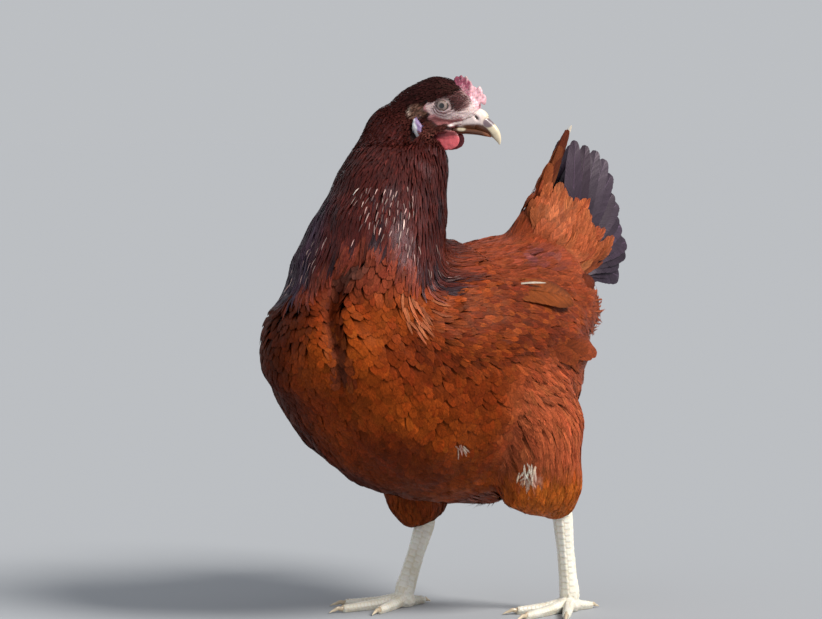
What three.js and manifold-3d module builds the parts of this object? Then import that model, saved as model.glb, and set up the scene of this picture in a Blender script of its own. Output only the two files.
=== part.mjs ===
// A standing hen of a red laying breed, life size, in millimetres. +Z is up, the hen walks
// towards -Y, and its left side is +X. Its head is turned back over its left shoulder.
// The solids are the outline of the feathered bird: each is a round body swept along a line.
import * as THREE from "three";
import Module from "manifold-3d";
import { mergeVertices } from "three/addons/utils/BufferGeometryUtils.js";

const wasm = await Module();
wasm.setup();

// Driving dimensions.
const GAP = 0.3; // left between two solids that touch
const HEAD_AT = [12, 2, 406]; // middle of the skull, between the eyes
const HEAD_TURN = 125; // degrees to the left of the way the body faces
const EYE_RADIUS = 6.8;
const EYE_AT = [3.1, 10.4, -3]; // in the frame of the head, described below
const SHANK_WIDE = 6.9; // half widths of the bare leg
const SHANK_DEEP = 8.2;
const TOE_RADIUS = 4.1;
const TOE_ROOT = 8; // height of a toe's middle where it leaves the foot
const CLAW_RADIUS = 2.1;
const PAD_RADIUS = 9.5;

const Y = new THREE.Vector3(0, 1, 0);
const Z = new THREE.Vector3(0, 0, 1);

// Solids and meshes ---------------------------------------------------------------------

function solidOf(geometry) {
  const bare = geometry.index ? geometry.toNonIndexed() : geometry.clone();
  bare.deleteAttribute("normal");
  bare.deleteAttribute("uv");
  const merged = mergeVertices(bare, 1e-4);
  return new wasm.Manifold(
    new wasm.Mesh({
      numProp: 3,
      vertProperties: merged.attributes.position.array,
      triVerts: new Uint32Array(merged.index.array),
    }),
  );
}

function geometryOf(solid) {
  const mesh = solid.getMesh();
  const geometry = new THREE.BufferGeometry();
  geometry.setAttribute("position", new THREE.BufferAttribute(mesh.vertProperties, 3));
  geometry.setIndex(new THREE.BufferAttribute(mesh.triVerts, 1));
  geometry.computeVertexNormals();
  return geometry;
}

// A cut can leave crumbs, so only the largest body is kept.
function largest(solid) {
  return solid.decompose().reduce((a, b) => (b.volume() > a.volume() ? b : a));
}

function carve(solid, ...cutters) {
  return largest(cutters.reduce((left, cutter) => left.subtract(cutter), solid));
}

// A round body swept along a line of stations. Each station has its middle, its half width,
// and its half heights above and below the line. The ends are rounded by caps of a given
// length. keel narrows the upper side, as on a tent or a roof, and up says which way is the
// top, all along or at each share of the way. tips makes that many feather tips, each
// tipLength long, across the far end.
function sweep(stations, options = {}) {
  const { rings = 12, sides = 16, cap = [6, 6], up = Z, keel = 0, grow = 0 } = options;
  const { tips = 0, tipLength = 0 } = options;
  const upAt = typeof up === "function" ? up : () => up;
  const middles = stations.map((s) => new THREE.Vector3(...s.at));
  const sizes = stations.map((s) => new THREE.Vector3(s.wide, s.above, s.below));
  const line = new THREE.CatmullRomCurve3(middles, false, "catmullrom", 0.5);
  const size = new THREE.CatmullRomCurve3(sizes, false, "catmullrom", 0.5);
  const length = line.getLength();
  const geometry = new THREE.SphereGeometry(1, sides, rings);
  const position = geometry.attributes.position;
  const uv = geometry.attributes.uv;
  const total = cap[0] + length + cap[1];
  for (let i = 0; i < position.count; i++) {
    // Rings crowd towards the two ends, where the caps turn over.
    const along = (1 - Math.cos(Math.PI * (1 - uv.getY(i)))) / 2;
    const run = along * total - cap[0];
    const t = THREE.MathUtils.clamp(run / length, 0, 1);
    const past = run - t * length;
    const over = past < 0 ? -past / cap[0] : past / cap[1];
    const round = over < 0.999999 ? Math.sqrt(1 - over * over) : 0;
    const tangent = line.getTangent(t);
    const side = new THREE.Vector3().crossVectors(tangent, upAt(t)).normalize();
    const top = new THREE.Vector3().crossVectors(side, tangent);
    const around = (uv.getX(i) % 1) * 2 * Math.PI;
    const high = Math.sin(around);
    const tip = tips ? tipLength * along ** 4 * Math.abs(Math.sin((Math.PI / 2) * tips * high)) : 0;
    const s = size.getPoint(t);
    const wide = (s.x + grow) * (1 - keel * high) * Math.cos(around);
    const tall = ((high > 0 ? s.y : s.z) + grow) * high;
    const point = line.getPoint(t);
    point.addScaledVector(tangent, past + Math.sign(past) * grow * over + tip * round);
    point.addScaledVector(side, wide * round);
    point.addScaledVector(top, tall * round);
    position.setXYZ(i, point.x, point.y, point.z);
  }
  const solid = solidOf(geometry);
  return solid.volume() < 0 ? solidOf(turned(geometry)) : solid;
}

function turned(geometry) {
  const flipped = geometry.clone();
  const index = flipped.index.array;
  for (let i = 0; i < index.length; i += 3) {
    [index[i + 1], index[i + 2]] = [index[i + 2], index[i + 1]];
  }
  return flipped;
}

const station = (x, y, z, wide, above, below = above) => ({ at: [x, y, z], wide, above, below });

// Each body part is a function of how much it is grown, so that the same shape, a little
// larger, cuts its neighbour back.

// Trunk: from the breast to the fluff under the tail.
const trunkShape = (grow) =>
  sweep(
    [
      station(0, -108, 220, 64, 60, 52),
      station(0, -80, 210, 83, 78, 78),
      station(0, -44, 202, 94, 92, 98),
      station(0, 0, 198, 96, 99, 108),
      station(0, 45, 203, 92, 99, 112),
      station(0, 88, 230, 74, 76, 60),
      station(0, 120, 250, 56, 60, 46),
    ],
    { rings: 14, sides: 18, cap: [38, 28], grow },
  );

// Neck: the hackle falls from the back of the head over the shoulders like a cape. It twists
// with the head, so its section turns on the way up.
const headWay = THREE.MathUtils.degToRad(HEAD_TURN - 90);
const HEAD_WAY = new THREE.Vector3(Math.cos(headWay), Math.sin(headWay), 0);
const neckTop = (t) => Y.clone().lerp(HEAD_WAY, THREE.MathUtils.smoothstep(t, 0.1, 1));

const neckShape = (grow) =>
  sweep(
    [
      station(0, -68, 226, 74, 68, 62),
      station(0, -65, 264, 70, 65, 60),
      station(0, -56, 300, 58, 55, 52),
      station(-4, -39, 336, 41, 46, 43),
      station(-11, -23, 364, 26, 38, 37),
      station(-15, -17, 391, 15, 25, 25),
    ],
    { rings: 13, sides: 18, cap: [20, 14], up: neckTop, grow },
  );

// Tail: a steep fan of feathers folded like a tent, wide below and sharp above.
const tailShape = (grow) =>
  sweep(
    [
      station(0, 76, 262, 32, 24, 34),
      station(0, 104, 292, 27, 23, 46),
      station(0, 136, 309, 20, 44, 56),
      station(0, 169, 323, 13, 66, 62),
    ],
    { rings: 8, sides: 28, cap: [12, 19], keel: 0.6, tips: 5, tipLength: 10, grow },
  );

// Wing, folded: a round shoulder in front, and the tips of the flight feathers behind.
const wingShape = (side) => (grow) => {
  const lean = new THREE.Vector3(-side * 0.42, 0, 1);
  return sweep(
    [
      station(side * 68, -76, 232, 10, 22, 24),
      station(side * 80, -44, 237, 12, 34, 34),
      station(side * 84, 0, 239, 12, 37, 34),
      station(side * 79, 44, 237, 11, 36, 27),
      station(side * 70, 78, 229, 10, 34, 28),
      station(side * 60, 100, 222, 8, 30, 26),
    ],
    { rings: 9, sides: 14, cap: [12, 12], up: lean, tips: 3, tipLength: 8, grow },
  );
};

// Legs. hip is how far back the thigh begins. front and rear say how far its feathers stand
// out at its three lower stations. The foot turns out by turn degrees.
const LEFT = {
  side: 1,
  hip: 40,
  front: [48, 34, 18],
  rear: [24, 16, 9],
  hock: [54, 90, 88],
  ankle: [52, 101, 13],
  turn: 10,
};
const RIGHT = {
  side: -1,
  hip: 10,
  front: [31, 30, 22],
  rear: [40, 33, 17],
  hock: [54, 43, 74],
  ankle: [52, 16, 13],
  turn: 4,
};

const thighShape = ({ side, hip, hock, front, rear }) => (grow) => {
  const back = (t) => hip + (hock[1] - hip) * t;
  return sweep(
    [
      station(side * 58, back(0), 190, 34, 46, 46),
      station(side * 64, back(0.25), 152, 33, 43, 44),
      station(side * 60, back(0.6), 118, 29, rear[0], front[0]),
      station(side * 56, back(0.85), hock[2] + 12, 25, rear[1], front[1]),
      station(side * hock[0], back(1), hock[2], 15, rear[2], front[2]),
    ],
    { rings: 9, sides: 16, cap: [30, 9], up: Y, grow },
  );
};

const shankShape = ({ side, hock, ankle }) => (grow) => {
  const between = (t, key) => hock[key] + (ankle[key] - hock[key]) * t;
  const at = (t, wide, deep) =>
    station(side * between(t, 0), between(t, 1), between(t, 2), wide, deep);
  return sweep(
    [
      at(-0.08, SHANK_WIDE + 1.5, SHANK_DEEP + 1.5),
      at(0.12, SHANK_WIDE + 1, SHANK_DEEP + 0.5),
      at(0.5, SHANK_WIDE - 0.4, SHANK_DEEP - 0.8),
      at(0.85, SHANK_WIDE, SHANK_DEEP - 0.2),
      at(1, SHANK_WIDE + 1.6, SHANK_DEEP + 0.6),
    ],
    { rings: 8, sides: 8, cap: [5, 6], up: Y, grow },
  );
};

// Toes: name, direction in degrees outwards from straight ahead, lengths of toe and claw.
const TOES = [
  { name: "inner", out: -28, length: 46, claw: 12 },
  { name: "middle", out: 2, length: 60, claw: 12 },
  { name: "outer", out: 34, length: 48, claw: 12 },
  { name: "hind", out: 168, length: 22, claw: 9 },
];

function toeLine(leg, toe) {
  const angle = THREE.MathUtils.degToRad(toe.out + leg.turn);
  const way = new THREE.Vector3(leg.side * Math.sin(angle), -Math.cos(angle), 0);
  const root = new THREE.Vector3(leg.side * leg.ankle[0], leg.ankle[1], 0);
  return (distance, height) => root.clone().addScaledVector(way, distance).setZ(height).toArray();
}

const toeShape = (leg, toe) => (grow) => {
  const at = toeLine(leg, toe);
  const r = TOE_RADIUS;
  const L = toe.length;
  return sweep(
    [
      { at: at(3, TOE_ROOT), wide: r + 1.2, above: r + 1.2, below: r + 1.2 },
      { at: at(L * 0.3, r + 1.0), wide: r + 0.3, above: r + 0.4, below: r + 2 },
      { at: at(L * 0.65, r - 0.4), wide: r, above: r - 0.2, below: r },
      { at: at(L, r - 0.9), wide: r - 0.8, above: r - 0.9, below: r },
    ],
    { rings: 6, sides: 6, cap: [3, 3], grow },
  );
};

const clawShape = (leg, toe) => (grow) => {
  const at = toeLine(leg, toe);
  const r = CLAW_RADIUS;
  const L = toe.length;
  const long = toe.claw;
  return sweep(
    [
      { at: at(L - 1, r + 1.6), wide: r, above: r, below: r },
      { at: at(L + long * 0.4, r + 1.5), wide: r * 0.8, above: r * 0.9, below: r * 0.9 },
      { at: at(L + long * 0.8, r), wide: r * 0.5, above: r * 0.5, below: r * 0.5 },
      { at: at(L + long, 0.6), wide: 0.35, above: 0.35, below: 0.35 },
    ],
    { rings: 5, sides: 5, cap: [1, 0.4], grow },
  );
};

const padShape = (leg) => (grow) =>
  sweep(
    [
      station(leg.side * leg.ankle[0], leg.ankle[1], 3.5, PAD_RADIUS, PAD_RADIUS),
      station(leg.side * leg.ankle[0], leg.ankle[1], 9, PAD_RADIUS - 1.5, PAD_RADIUS - 1),
    ],
    { rings: 5, sides: 8, cap: [5, 5], up: Y, grow },
  );

// Head: made in its own frame, with x to the beak, y to its left and z up, then turned.

const toBody = new THREE.Matrix4()
  .makeTranslation(...HEAD_AT)
  .multiply(new THREE.Matrix4().makeRotationZ(headWay));

const onHead = (shape) => (grow) => shape(grow).transform(toBody.toArray());

// The skull, with the cheeks and throat below it.
const skullShape = onHead((grow) =>
  sweep(
    [
      station(-29, 0, -10, 14, 19.5, 18),
      station(-16, 0, -6, 16, 21.3, 20),
      station(-2, 0, -3, 15.5, 23.2, 20),
      station(11, 0, -4, 13, 20, 18),
      station(21, 0, -7, 10, 13, 13),
      station(26, 0, -9, 7.5, 9, 9),
    ],
    { rings: 10, sides: 15, cap: [12, 3], grow },
  ).add(
    sweep(
      [
        station(-24, 0, -19, 15, 11, 12),
        station(-12, 0, -19, 16, 11, 11),
        station(2, 0, -19, 12.5, 9, 8),
      ],
      { rings: 7, sides: 11, cap: [9, 12], grow },
    ),
  ),
);

const eyeShape = (side) =>
  onHead((grow) => {
    const ball = new THREE.SphereGeometry(EYE_RADIUS + grow, 10, 7);
    ball.rotateX(Math.PI / 2);
    ball.translate(EYE_AT[0], side * EYE_AT[1], EYE_AT[2]);
    return solidOf(ball);
  });

const upperBeakShape = onHead((grow) =>
  sweep(
    [
      station(17, 0, -13.6, 7.4, 8.2),
      station(27, 0, -14, 6.8, 8.7),
      station(33, 0, -17.6, 5.4, 6.2),
      station(38, 0, -20.9, 3.9, 4.9),
      station(42.3, 0, -25.4, 2.5, 3.6),
      station(44.6, 0, -30.4, 1.3, 1.8),
      station(45.3, 0, -32.6, 0.7, 0.8),
    ],
    { rings: 10, sides: 12, cap: [4, 1.2], grow },
  ),
);

const lowerBeakShape = onHead((grow) =>
  sweep(
    [
      station(11, 0, -21.8, 7, 3, 3),
      station(20, 0, -22.6, 6, 2.8),
      station(29, 0, -23.6, 4.6, 2.6),
      station(35, 0, -25.4, 3, 1.9),
      station(38.6, 0, -27.4, 1.4, 0.9),
    ],
    { rings: 8, sides: 10, cap: [4, 1.5], grow },
  ),
);

// Comb: one upright blade with five low points, from the crown to the bridge of the beak.
// Its outline is seen from the side of the head.
const COMB_OUTLINE = [
  [7, 13], [8.6, 20], [10.4, 23], [12.4, 21], [14.4, 22.6], [16.4, 19.4], [18.8, 19.8],
  [20, 15.6], [22.6, 15.4], [24.2, 11.2], [28, 13.2], [31.2, 9.2], [32.6, 4], [32.2, 0],
  [30.6, -4.2], [24, -6], [13, 3],
];

function combOutline() {
  return new THREE.Shape(COMB_OUTLINE.map(([x, z]) => new THREE.Vector2(x, z)));
}

const combShape = onHead((grow) => {
  const blade = new THREE.ExtrudeGeometry(combOutline(), {
    depth: 2 + 2 * grow,
    bevelEnabled: true,
    bevelThickness: 1.4,
    bevelSize: 0.5 + grow,
    bevelOffset: -0.5,
    bevelSegments: 1,
    steps: 1,
  });
  blade.rotateX(Math.PI / 2);
  blade.translate(0, 1 + grow, 0);
  return solidOf(blade);
});

const flapShape = (at, size, lean, slant) => (grow) => {
  const flap = new THREE.SphereGeometry(1, 10, 7);
  flap.scale(size[0] + grow, size[1] + grow, size[2] + grow);
  flap.rotateY(slant);
  flap.rotateX(lean);
  flap.translate(...at);
  return solidOf(flap);
};

const wattleShape = (side) =>
  onHead(flapShape([5.4, side * 7.8, -28.4], [11.2, 2.4, 9], side * 0.2, 0));
const lobeShape = (side) =>
  onHead(flapShape([-17, side * 15.5, -20.5], [3.8, 2.4, 8.8], side * 0.1, -0.35));

// Materials -----------------------------------------------------------------------------

const finish = (color, roughness) =>
  new THREE.MeshStandardMaterial({ color, roughness, metalness: 0 });
const RUST = finish(0x7a3115, 0.55);
const MAROON = finish(0x4a1712, 0.5);
const SLATE = finish(0x2f2a33, 0.5);
const FLESH = finish(0xb5474a, 0.45);
const LOBE = finish(0xcdb9c4, 0.5);
const HORN = finish(0xb58a5c, 0.4);
const LEG = finish(0xe8d9a8, 0.5);
const CLAW = finish(0xcbb594, 0.4);
const IRIS = finish(0x6f6552, 0.1);

// Assembly ------------------------------------------------------------------------------

const hen = new THREE.Group();

function add(name, solid, material) {
  const mesh = new THREE.Mesh(geometryOf(solid), material);
  mesh.name = name;
  hen.add(mesh);
}

const floor = solidOf(new THREE.BoxGeometry(800, 800, 40).translate(0, 0, -20));

const sides = { left: 1, right: -1 };
const legs = { left: LEFT, right: RIGHT };

// Face parts, then the head round them.
const faceCutters = [upperBeakShape(GAP), combShape(GAP), lowerBeakShape(GAP)];
add("beak_upper", upperBeakShape(0), HORN);
add("beak_lower", carve(lowerBeakShape(0), upperBeakShape(GAP)), HORN);
add("comb", carve(combShape(0), upperBeakShape(GAP)), FLESH);
for (const [name, side] of Object.entries(sides)) {
  add(`eye_${name}`, eyeShape(side)(0), IRIS);
  add(`earlobe_${name}`, lobeShape(side)(0), LOBE);
  add(`wattle_${name}`, carve(wattleShape(side)(0), upperBeakShape(GAP), lowerBeakShape(GAP)), FLESH);
  faceCutters.push(eyeShape(side)(GAP), lobeShape(side)(GAP), wattleShape(side)(GAP));
}
add("head", carve(skullShape(0), ...faceCutters), MAROON);
add("neck", carve(neckShape(0), skullShape(GAP), ...faceCutters), MAROON);

// Trunk, cut back round everything that grows from it.
const trunkCutters = [neckShape(GAP), tailShape(GAP)];
add("tail", tailShape(0), SLATE);
for (const [name, side] of Object.entries(sides)) {
  const leg = legs[name];
  add(`wing_${name}`, carve(wingShape(side)(0), neckShape(GAP), tailShape(GAP)), RUST);
  add(
    `thigh_${name}`,
    carve(thighShape(leg)(0), wingShape(side)(GAP), shankShape(leg)(GAP), neckShape(GAP)),
    RUST,
  );
  trunkCutters.push(wingShape(side)(GAP), thighShape(leg)(GAP), shankShape(leg)(GAP));
  const toes = TOES.map((toe) => ({ toe, solid: toeShape(leg, toe), claw: clawShape(leg, toe) }));
  const foot = shankShape(leg)(0).add(padShape(leg)(0));
  const footGrown = shankShape(leg)(GAP).add(padShape(leg)(GAP));
  add(`shank_${name}`, carve(foot, floor), LEG);
  toes.forEach(({ toe, solid, claw }, i) => {
    const earlier = toes.slice(0, i).map((t) => t.solid(GAP));
    add(`toe_${name}_${toe.name}`, carve(solid(0), floor, footGrown, claw(GAP), ...earlier), LEG);
    add(`claw_${name}_${toe.name}`, carve(claw(0), floor), CLAW);
  });
}
add("trunk", carve(trunkShape(0), ...trunkCutters), RUST);

// The origin is on the floor, under the middle of the whole bird.
const box = new THREE.Box3().setFromObject(hen);
hen.position.set(-(box.min.x + box.max.x) / 2, -(box.min.y + box.max.y) / 2, -box.min.z);

export default hen;
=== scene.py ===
# %% [markdown]
# # A red hen in mid-step
# A hen is a small body inside a deep coat. What we see, the outline, is the tips of its
# feathers, and the skin lies several millimetres below. So this model is made in that
# order: the outline comes from the frame, the skin is that outline drawn inwards, and
# thousands of small mesh feathers grow from the skin and end at the outline. The bare
# parts, which are the face, comb, beak, legs and claws, are modelled on their own.
#
# Everything is in metres, the hen walks towards -Y, and its left side is +X.

# %% Load the frame
import math

import bpy
import numpy as np
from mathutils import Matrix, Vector
from mathutils.bvhtree import BVHTree


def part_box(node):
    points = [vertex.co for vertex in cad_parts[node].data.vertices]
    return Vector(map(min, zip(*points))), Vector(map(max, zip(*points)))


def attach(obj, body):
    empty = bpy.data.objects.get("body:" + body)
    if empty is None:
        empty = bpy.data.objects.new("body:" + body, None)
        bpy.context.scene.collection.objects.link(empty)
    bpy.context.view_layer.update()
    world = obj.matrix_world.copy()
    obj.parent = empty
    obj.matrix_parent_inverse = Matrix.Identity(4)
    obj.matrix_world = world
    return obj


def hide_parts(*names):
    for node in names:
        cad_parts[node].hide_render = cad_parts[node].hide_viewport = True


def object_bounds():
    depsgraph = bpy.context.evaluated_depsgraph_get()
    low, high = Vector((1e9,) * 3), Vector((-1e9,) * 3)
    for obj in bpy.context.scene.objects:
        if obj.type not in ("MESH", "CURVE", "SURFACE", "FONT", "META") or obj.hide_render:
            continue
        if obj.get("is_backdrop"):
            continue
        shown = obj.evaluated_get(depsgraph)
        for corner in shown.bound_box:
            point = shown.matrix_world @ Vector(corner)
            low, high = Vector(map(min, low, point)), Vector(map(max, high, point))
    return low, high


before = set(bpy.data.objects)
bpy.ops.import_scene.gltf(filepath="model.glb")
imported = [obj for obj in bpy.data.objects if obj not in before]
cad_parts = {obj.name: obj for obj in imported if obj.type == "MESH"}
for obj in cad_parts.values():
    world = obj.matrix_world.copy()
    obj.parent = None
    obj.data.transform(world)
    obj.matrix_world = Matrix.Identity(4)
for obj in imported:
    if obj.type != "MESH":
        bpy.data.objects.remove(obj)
CAD_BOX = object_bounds()
MM = 0.001
UP = np.array([0.0, 0.0, 1.0])
BACK = np.array([0.0, 1.0, 0.0])
SIDES = (("left", 1), ("right", -1))
print("frame holds", len(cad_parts), "solids; box", CAD_BOX)


# %% [markdown]
# ## Vectors and gentle noise
# Feathers are placed by the thousand, so every sum is done on whole arrays at once. The
# noise is a handful of sine waves in fixed directions. It is smooth, needs no texture, and
# comes out the same on every run, which is what markings and ruffled feathers need.

# %% Vectors and noise
WAVES = 7


def unit(v):
    """Each row of v, made one long."""
    v = np.asarray(v, float)
    return v / np.maximum(np.linalg.norm(v, axis=-1, keepdims=True), 1e-12)


def smooth(x, low, high):
    """0 below low, 1 above high, and an S-shaped step between."""
    t = np.clip((x - low) / (high - low), 0, 1)
    return t * t * (3 - 2 * t)


def mix(a, b, t):
    """Rows of a where t is 0 and rows of b where it's 1."""
    t = np.asarray(t)[..., None]
    return a * (1 - t) + b * t


def ripple(points, size, seed):
    """Smooth noise, mostly from -1 to 1, whose bumps are about size across."""
    draw = np.random.default_rng(seed)
    ways = unit(draw.normal(size=(WAVES, 3))) * draw.uniform(0.6, 1.5, (WAVES, 1)) * math.pi / size
    turns = draw.uniform(0, 2 * math.pi, WAVES)
    return np.sin(np.asarray(points) @ ways.T + turns).sum(-1) / math.sqrt(WAVES * 1.2)


def gap_from(points, centre, radii):
    """Distance from a spot given in millimetres, where 1 is the edge of an ellipsoid round it."""
    return np.linalg.norm((points - np.array(centre) * MM) / (np.array(radii) * MM), axis=1)


def both_sides(points):
    """The points with the right side laid over the left."""
    return np.column_stack([np.abs(points[:, 0]), points[:, 1:]])


def middle(node):
    """Middle of the box of one of the frame's solids."""
    low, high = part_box(node)
    return (np.array(low) + np.array(high)) / 2


print("middle of the trunk", np.round(middle("trunk"), 3))


# %% [markdown]
# ## Where the head is
# The head is turned far round, so its parts are easier to place along its own axes: out
# along the beak, out of the left cheek, and up. The two eyes fix those axes. The axes
# start inside the skull, just behind and above the line from eye to eye.

# %% The head's own axes
EYE_PLACE = np.array([3.1, 10.4, -3.0])  # the left eye, along the beak, to the left and up
EYE = {side: middle("eye_" + side) for side, _ in SIDES}
HEAD_SIDE = unit(EYE["left"] - EYE["right"])
HEAD_FRONT = np.cross(HEAD_SIDE, UP)
HEAD_AXES = np.array([HEAD_FRONT, HEAD_SIDE, UP])
HEAD_START = (EYE["left"] + EYE["right"]) / 2 - EYE_PLACE * [1, 0, 1] * MM @ HEAD_AXES


def on_head(points):
    """World places of points given in millimetres along the beak, to the left and up."""
    return HEAD_START + np.asarray(points, float) * MM @ HEAD_AXES


def on_head_axes(points):
    """The other way: millimetres along the head's axes from world places."""
    return (np.asarray(points) - HEAD_START) @ HEAD_AXES.T / MM


print("the beak points", np.round(HEAD_FRONT, 2), "and the skull is at", np.round(HEAD_START, 3))


# %% [markdown]
# ## Meshes from arrays
# Blender can build a mesh one face at a time, but with a million corners that takes
# minutes. Handing over whole arrays takes a second. Every face here has four corners, and
# a triangle just repeats its last one, so one array of corner numbers says everything.

# %% Build a mesh object from arrays
def make_object(name, points, faces, materials, smooth_faces=True):
    """A mesh object in the scene, from rows of places and rows of corner numbers."""
    faces = np.asarray(faces, np.int32)
    threes = faces[:, 2] == faces[:, 3]
    sizes = np.where(threes, 3, 4).astype(np.int32)
    corners = faces[np.arange(4)[None] < sizes[:, None]]
    mesh = bpy.data.meshes.new(name)
    mesh.vertices.add(len(points))
    mesh.vertices.foreach_set("co", np.asarray(points, np.float32).ravel())
    mesh.loops.add(len(corners))
    mesh.loops.foreach_set("vertex_index", corners)
    mesh.polygons.add(len(faces))
    mesh.polygons.foreach_set("loop_start", np.concatenate([[0], np.cumsum(sizes)[:-1]]).astype(np.int32))
    mesh.update(calc_edges=True)
    mesh.polygons.foreach_set("use_smooth", np.full(len(faces), smooth_faces))
    for material in materials:
        mesh.materials.append(material)
    obj = bpy.data.objects.new(name, mesh)
    bpy.context.scene.collection.objects.link(obj)
    return obj


def read_mesh(mesh):
    """Places and faces of a mesh, in the form that make_object takes."""
    points = np.zeros(len(mesh.vertices) * 3, np.float32)
    mesh.vertices.foreach_get("co", points)
    faces = [list(p.vertices) + [p.vertices[-1]] * (4 - len(p.vertices)) for p in mesh.polygons]
    return points.reshape(-1, 3).astype(float), np.array(faces, np.int32)


def solid(node):
    """Places and faces of one of the frame's solids."""
    return read_mesh(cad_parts[node].data)


def joined(parts):
    """One pair of arrays from several."""
    points, faces, start = [], [], 0
    for part_points, part_faces in parts:
        points.append(part_points)
        faces.append(part_faces + start)
        start += len(part_points)
    return np.concatenate(points), np.concatenate(faces)


def add_colours(obj, colours):
    """A colour for each point, under the name that the materials look for."""
    layer = obj.data.color_attributes.new("Coat", "FLOAT_COLOR", "POINT")
    rgba = np.ones((len(colours), 4), np.float32)
    rgba[:, :3] = np.clip(colours, 0, 0.95)
    layer.data.foreach_set("color", rgba.ravel())


def add_uv(obj, name, uv_of_vertex):
    """A flat map of the mesh, from a place in it for each point."""
    layer = obj.data.uv_layers.new(name=name)
    corners = np.zeros(len(obj.data.loops), np.int32)
    obj.data.loops.foreach_get("vertex_index", corners)
    layer.data.foreach_set("uv", np.asarray(uv_of_vertex, np.float32)[corners].ravel())


def finished(obj, replaces):
    """Every piece rides on the body, and may stand for some solids, which are hidden."""
    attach(obj, "root")
    if replaces:
        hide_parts(*replaces)
    print(obj.name, len(obj.data.vertices), "points,", len(obj.data.polygons), "faces")


print("the head solid has", len(solid("head")[0]), "points")


# %% [markdown]
# ## The outline
# The frame's solids are cut apart by thin gaps. Remeshing their copies on a fine grid of
# small cubes closes the gaps and joins them into one closed skin of even squares, and a
# little relaxing rounds off the flats. This surface isn't shown: the feather tips end on it.

# %% Remesh and relax
def remeshed(points, faces, cell):
    """The solids fused into one surface of even squares, cell wide."""
    mesh = bpy.data.meshes.new("rough")
    threes = (faces[:, 2] == faces[:, 3]).tolist()
    mesh.from_pydata(points.tolist(), [], [f[:3] if t else f for f, t in zip(faces.tolist(), threes)])
    obj = bpy.data.objects.new("rough", mesh)
    bpy.context.scene.collection.objects.link(obj)
    change = obj.modifiers.new("cubes", "REMESH")
    change.mode = "VOXEL"
    change.voxel_size = cell
    settled = obj.evaluated_get(bpy.context.evaluated_depsgraph_get())
    result = read_mesh(settled.to_mesh())
    settled.to_mesh_clear()
    bpy.data.objects.remove(obj)
    bpy.data.meshes.remove(mesh)
    return result


def relax(values, faces, times):
    """Each value moves half way to the mean of its neighbours, some times over."""
    pairs = np.concatenate([faces[:, [i, (i + 1) % 4]] for i in range(4)])
    pairs = pairs[pairs[:, 0] != pairs[:, 1]]
    pairs = np.concatenate([pairs, pairs[:, ::-1]])
    count = np.bincount(pairs[:, 0], minlength=len(values))[:, None]
    for _ in range(times):
        sums = [np.bincount(pairs[:, 0], column[pairs[:, 1]], len(values)) for column in values.T]
        values = values + 0.5 * (np.stack(sums, 1) / count - values)
    return values


def normals_of(points, faces):
    """The outward direction at each point."""
    a, b, c, d = (points[faces[:, i]] for i in range(4))
    cross = np.cross(c - a, d - b)
    cross += (np.linalg.norm(cross, axis=1, keepdims=True) == 0) * np.cross(b - a, c - a)
    out = np.zeros_like(points)
    for i in range(4):
        for axis in range(3):
            out[:, axis] += np.bincount(faces[:, i], cross[:, axis], len(points))
    return unit(out)


def tree_of(points, faces):
    """A surface that can be asked for its nearest spot."""
    return BVHTree.FromPolygons(points.tolist(), faces.tolist())


FLESHY = ["trunk", "neck", "head", "wing_left", "wing_right", "thigh_left", "thigh_right"]
PARTS = FLESHY + ["tail"]
PART = {name: i for i, name in enumerate(PARTS)}
OUTLINE_CELL = 3.0 * MM
TIPS_PROUD = 0.8 * MM  # the outline is let out a little, as relaxing draws it in

outline_points, outline_faces = remeshed(*joined([solid(n) for n in PARTS]), OUTLINE_CELL)
outline_points = relax(outline_points, outline_faces, 7)
outline_points += normals_of(outline_points, outline_faces) * TIPS_PROUD
print("outline", len(outline_points), "points")


# %% [markdown]
# ## Which part of the hen a point is on
# Markings, feather sizes and the lie of the coat all change from part to part, and they
# blend where two parts meet. Each point's distance to each solid gives a soft share of that
# part, so nothing has a hard border.

# %% Shares of each part
BLEND = 9 * MM  # how far one part reaches into the next


def distance_to(node, points):
    """Distance from each point to the surface of one solid."""
    tree = tree_of(*solid(node))
    return np.array([tree.find_nearest(p)[3] for p in points.tolist()])


distances = np.array([distance_to(n, outline_points) for n in PARTS])
shares = np.exp(-((distances / BLEND) ** 2)) + 1e-6 * np.exp(-distances / BLEND)
shares = relax((shares / shares.sum(0)).T, outline_faces, 6)
print("mean share of each part", dict(zip(PARTS, np.round(shares.mean(0), 2))))


# %% [markdown]
# ## Partings and creases
# A coat isn't a smooth shell. As the hen stretches and turns, the breast feathers part along
# a furrow, the edge of the folded wing leaves a crease above the thigh, and there's a small
# gap where the thigh slides under. Each is a line on the body along which the outline is
# pressed in, softly, so that it holds a shadow.

# %% Press creases into the outline
def on_line(points, line):
    """Distance from a bent line, how far along it, and the nearest spot on it."""
    best = np.full(len(points), np.inf)
    along = np.zeros(len(points))
    spot = np.zeros_like(points)
    start = 0.0
    for a, b in zip(line[:-1], line[1:]):
        length = np.linalg.norm(b - a)
        t = np.clip((points - a) @ (b - a) / length**2, 0, 1)
        place = a + t[:, None] * (b - a)
        gap = np.linalg.norm(points - place, axis=1)
        closer = gap < best
        best = np.where(closer, gap, best)
        along = np.where(closer, start + t * length, along)
        spot = np.where(closer[:, None], place, spot)
        start += length
    return best, along, spot


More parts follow.
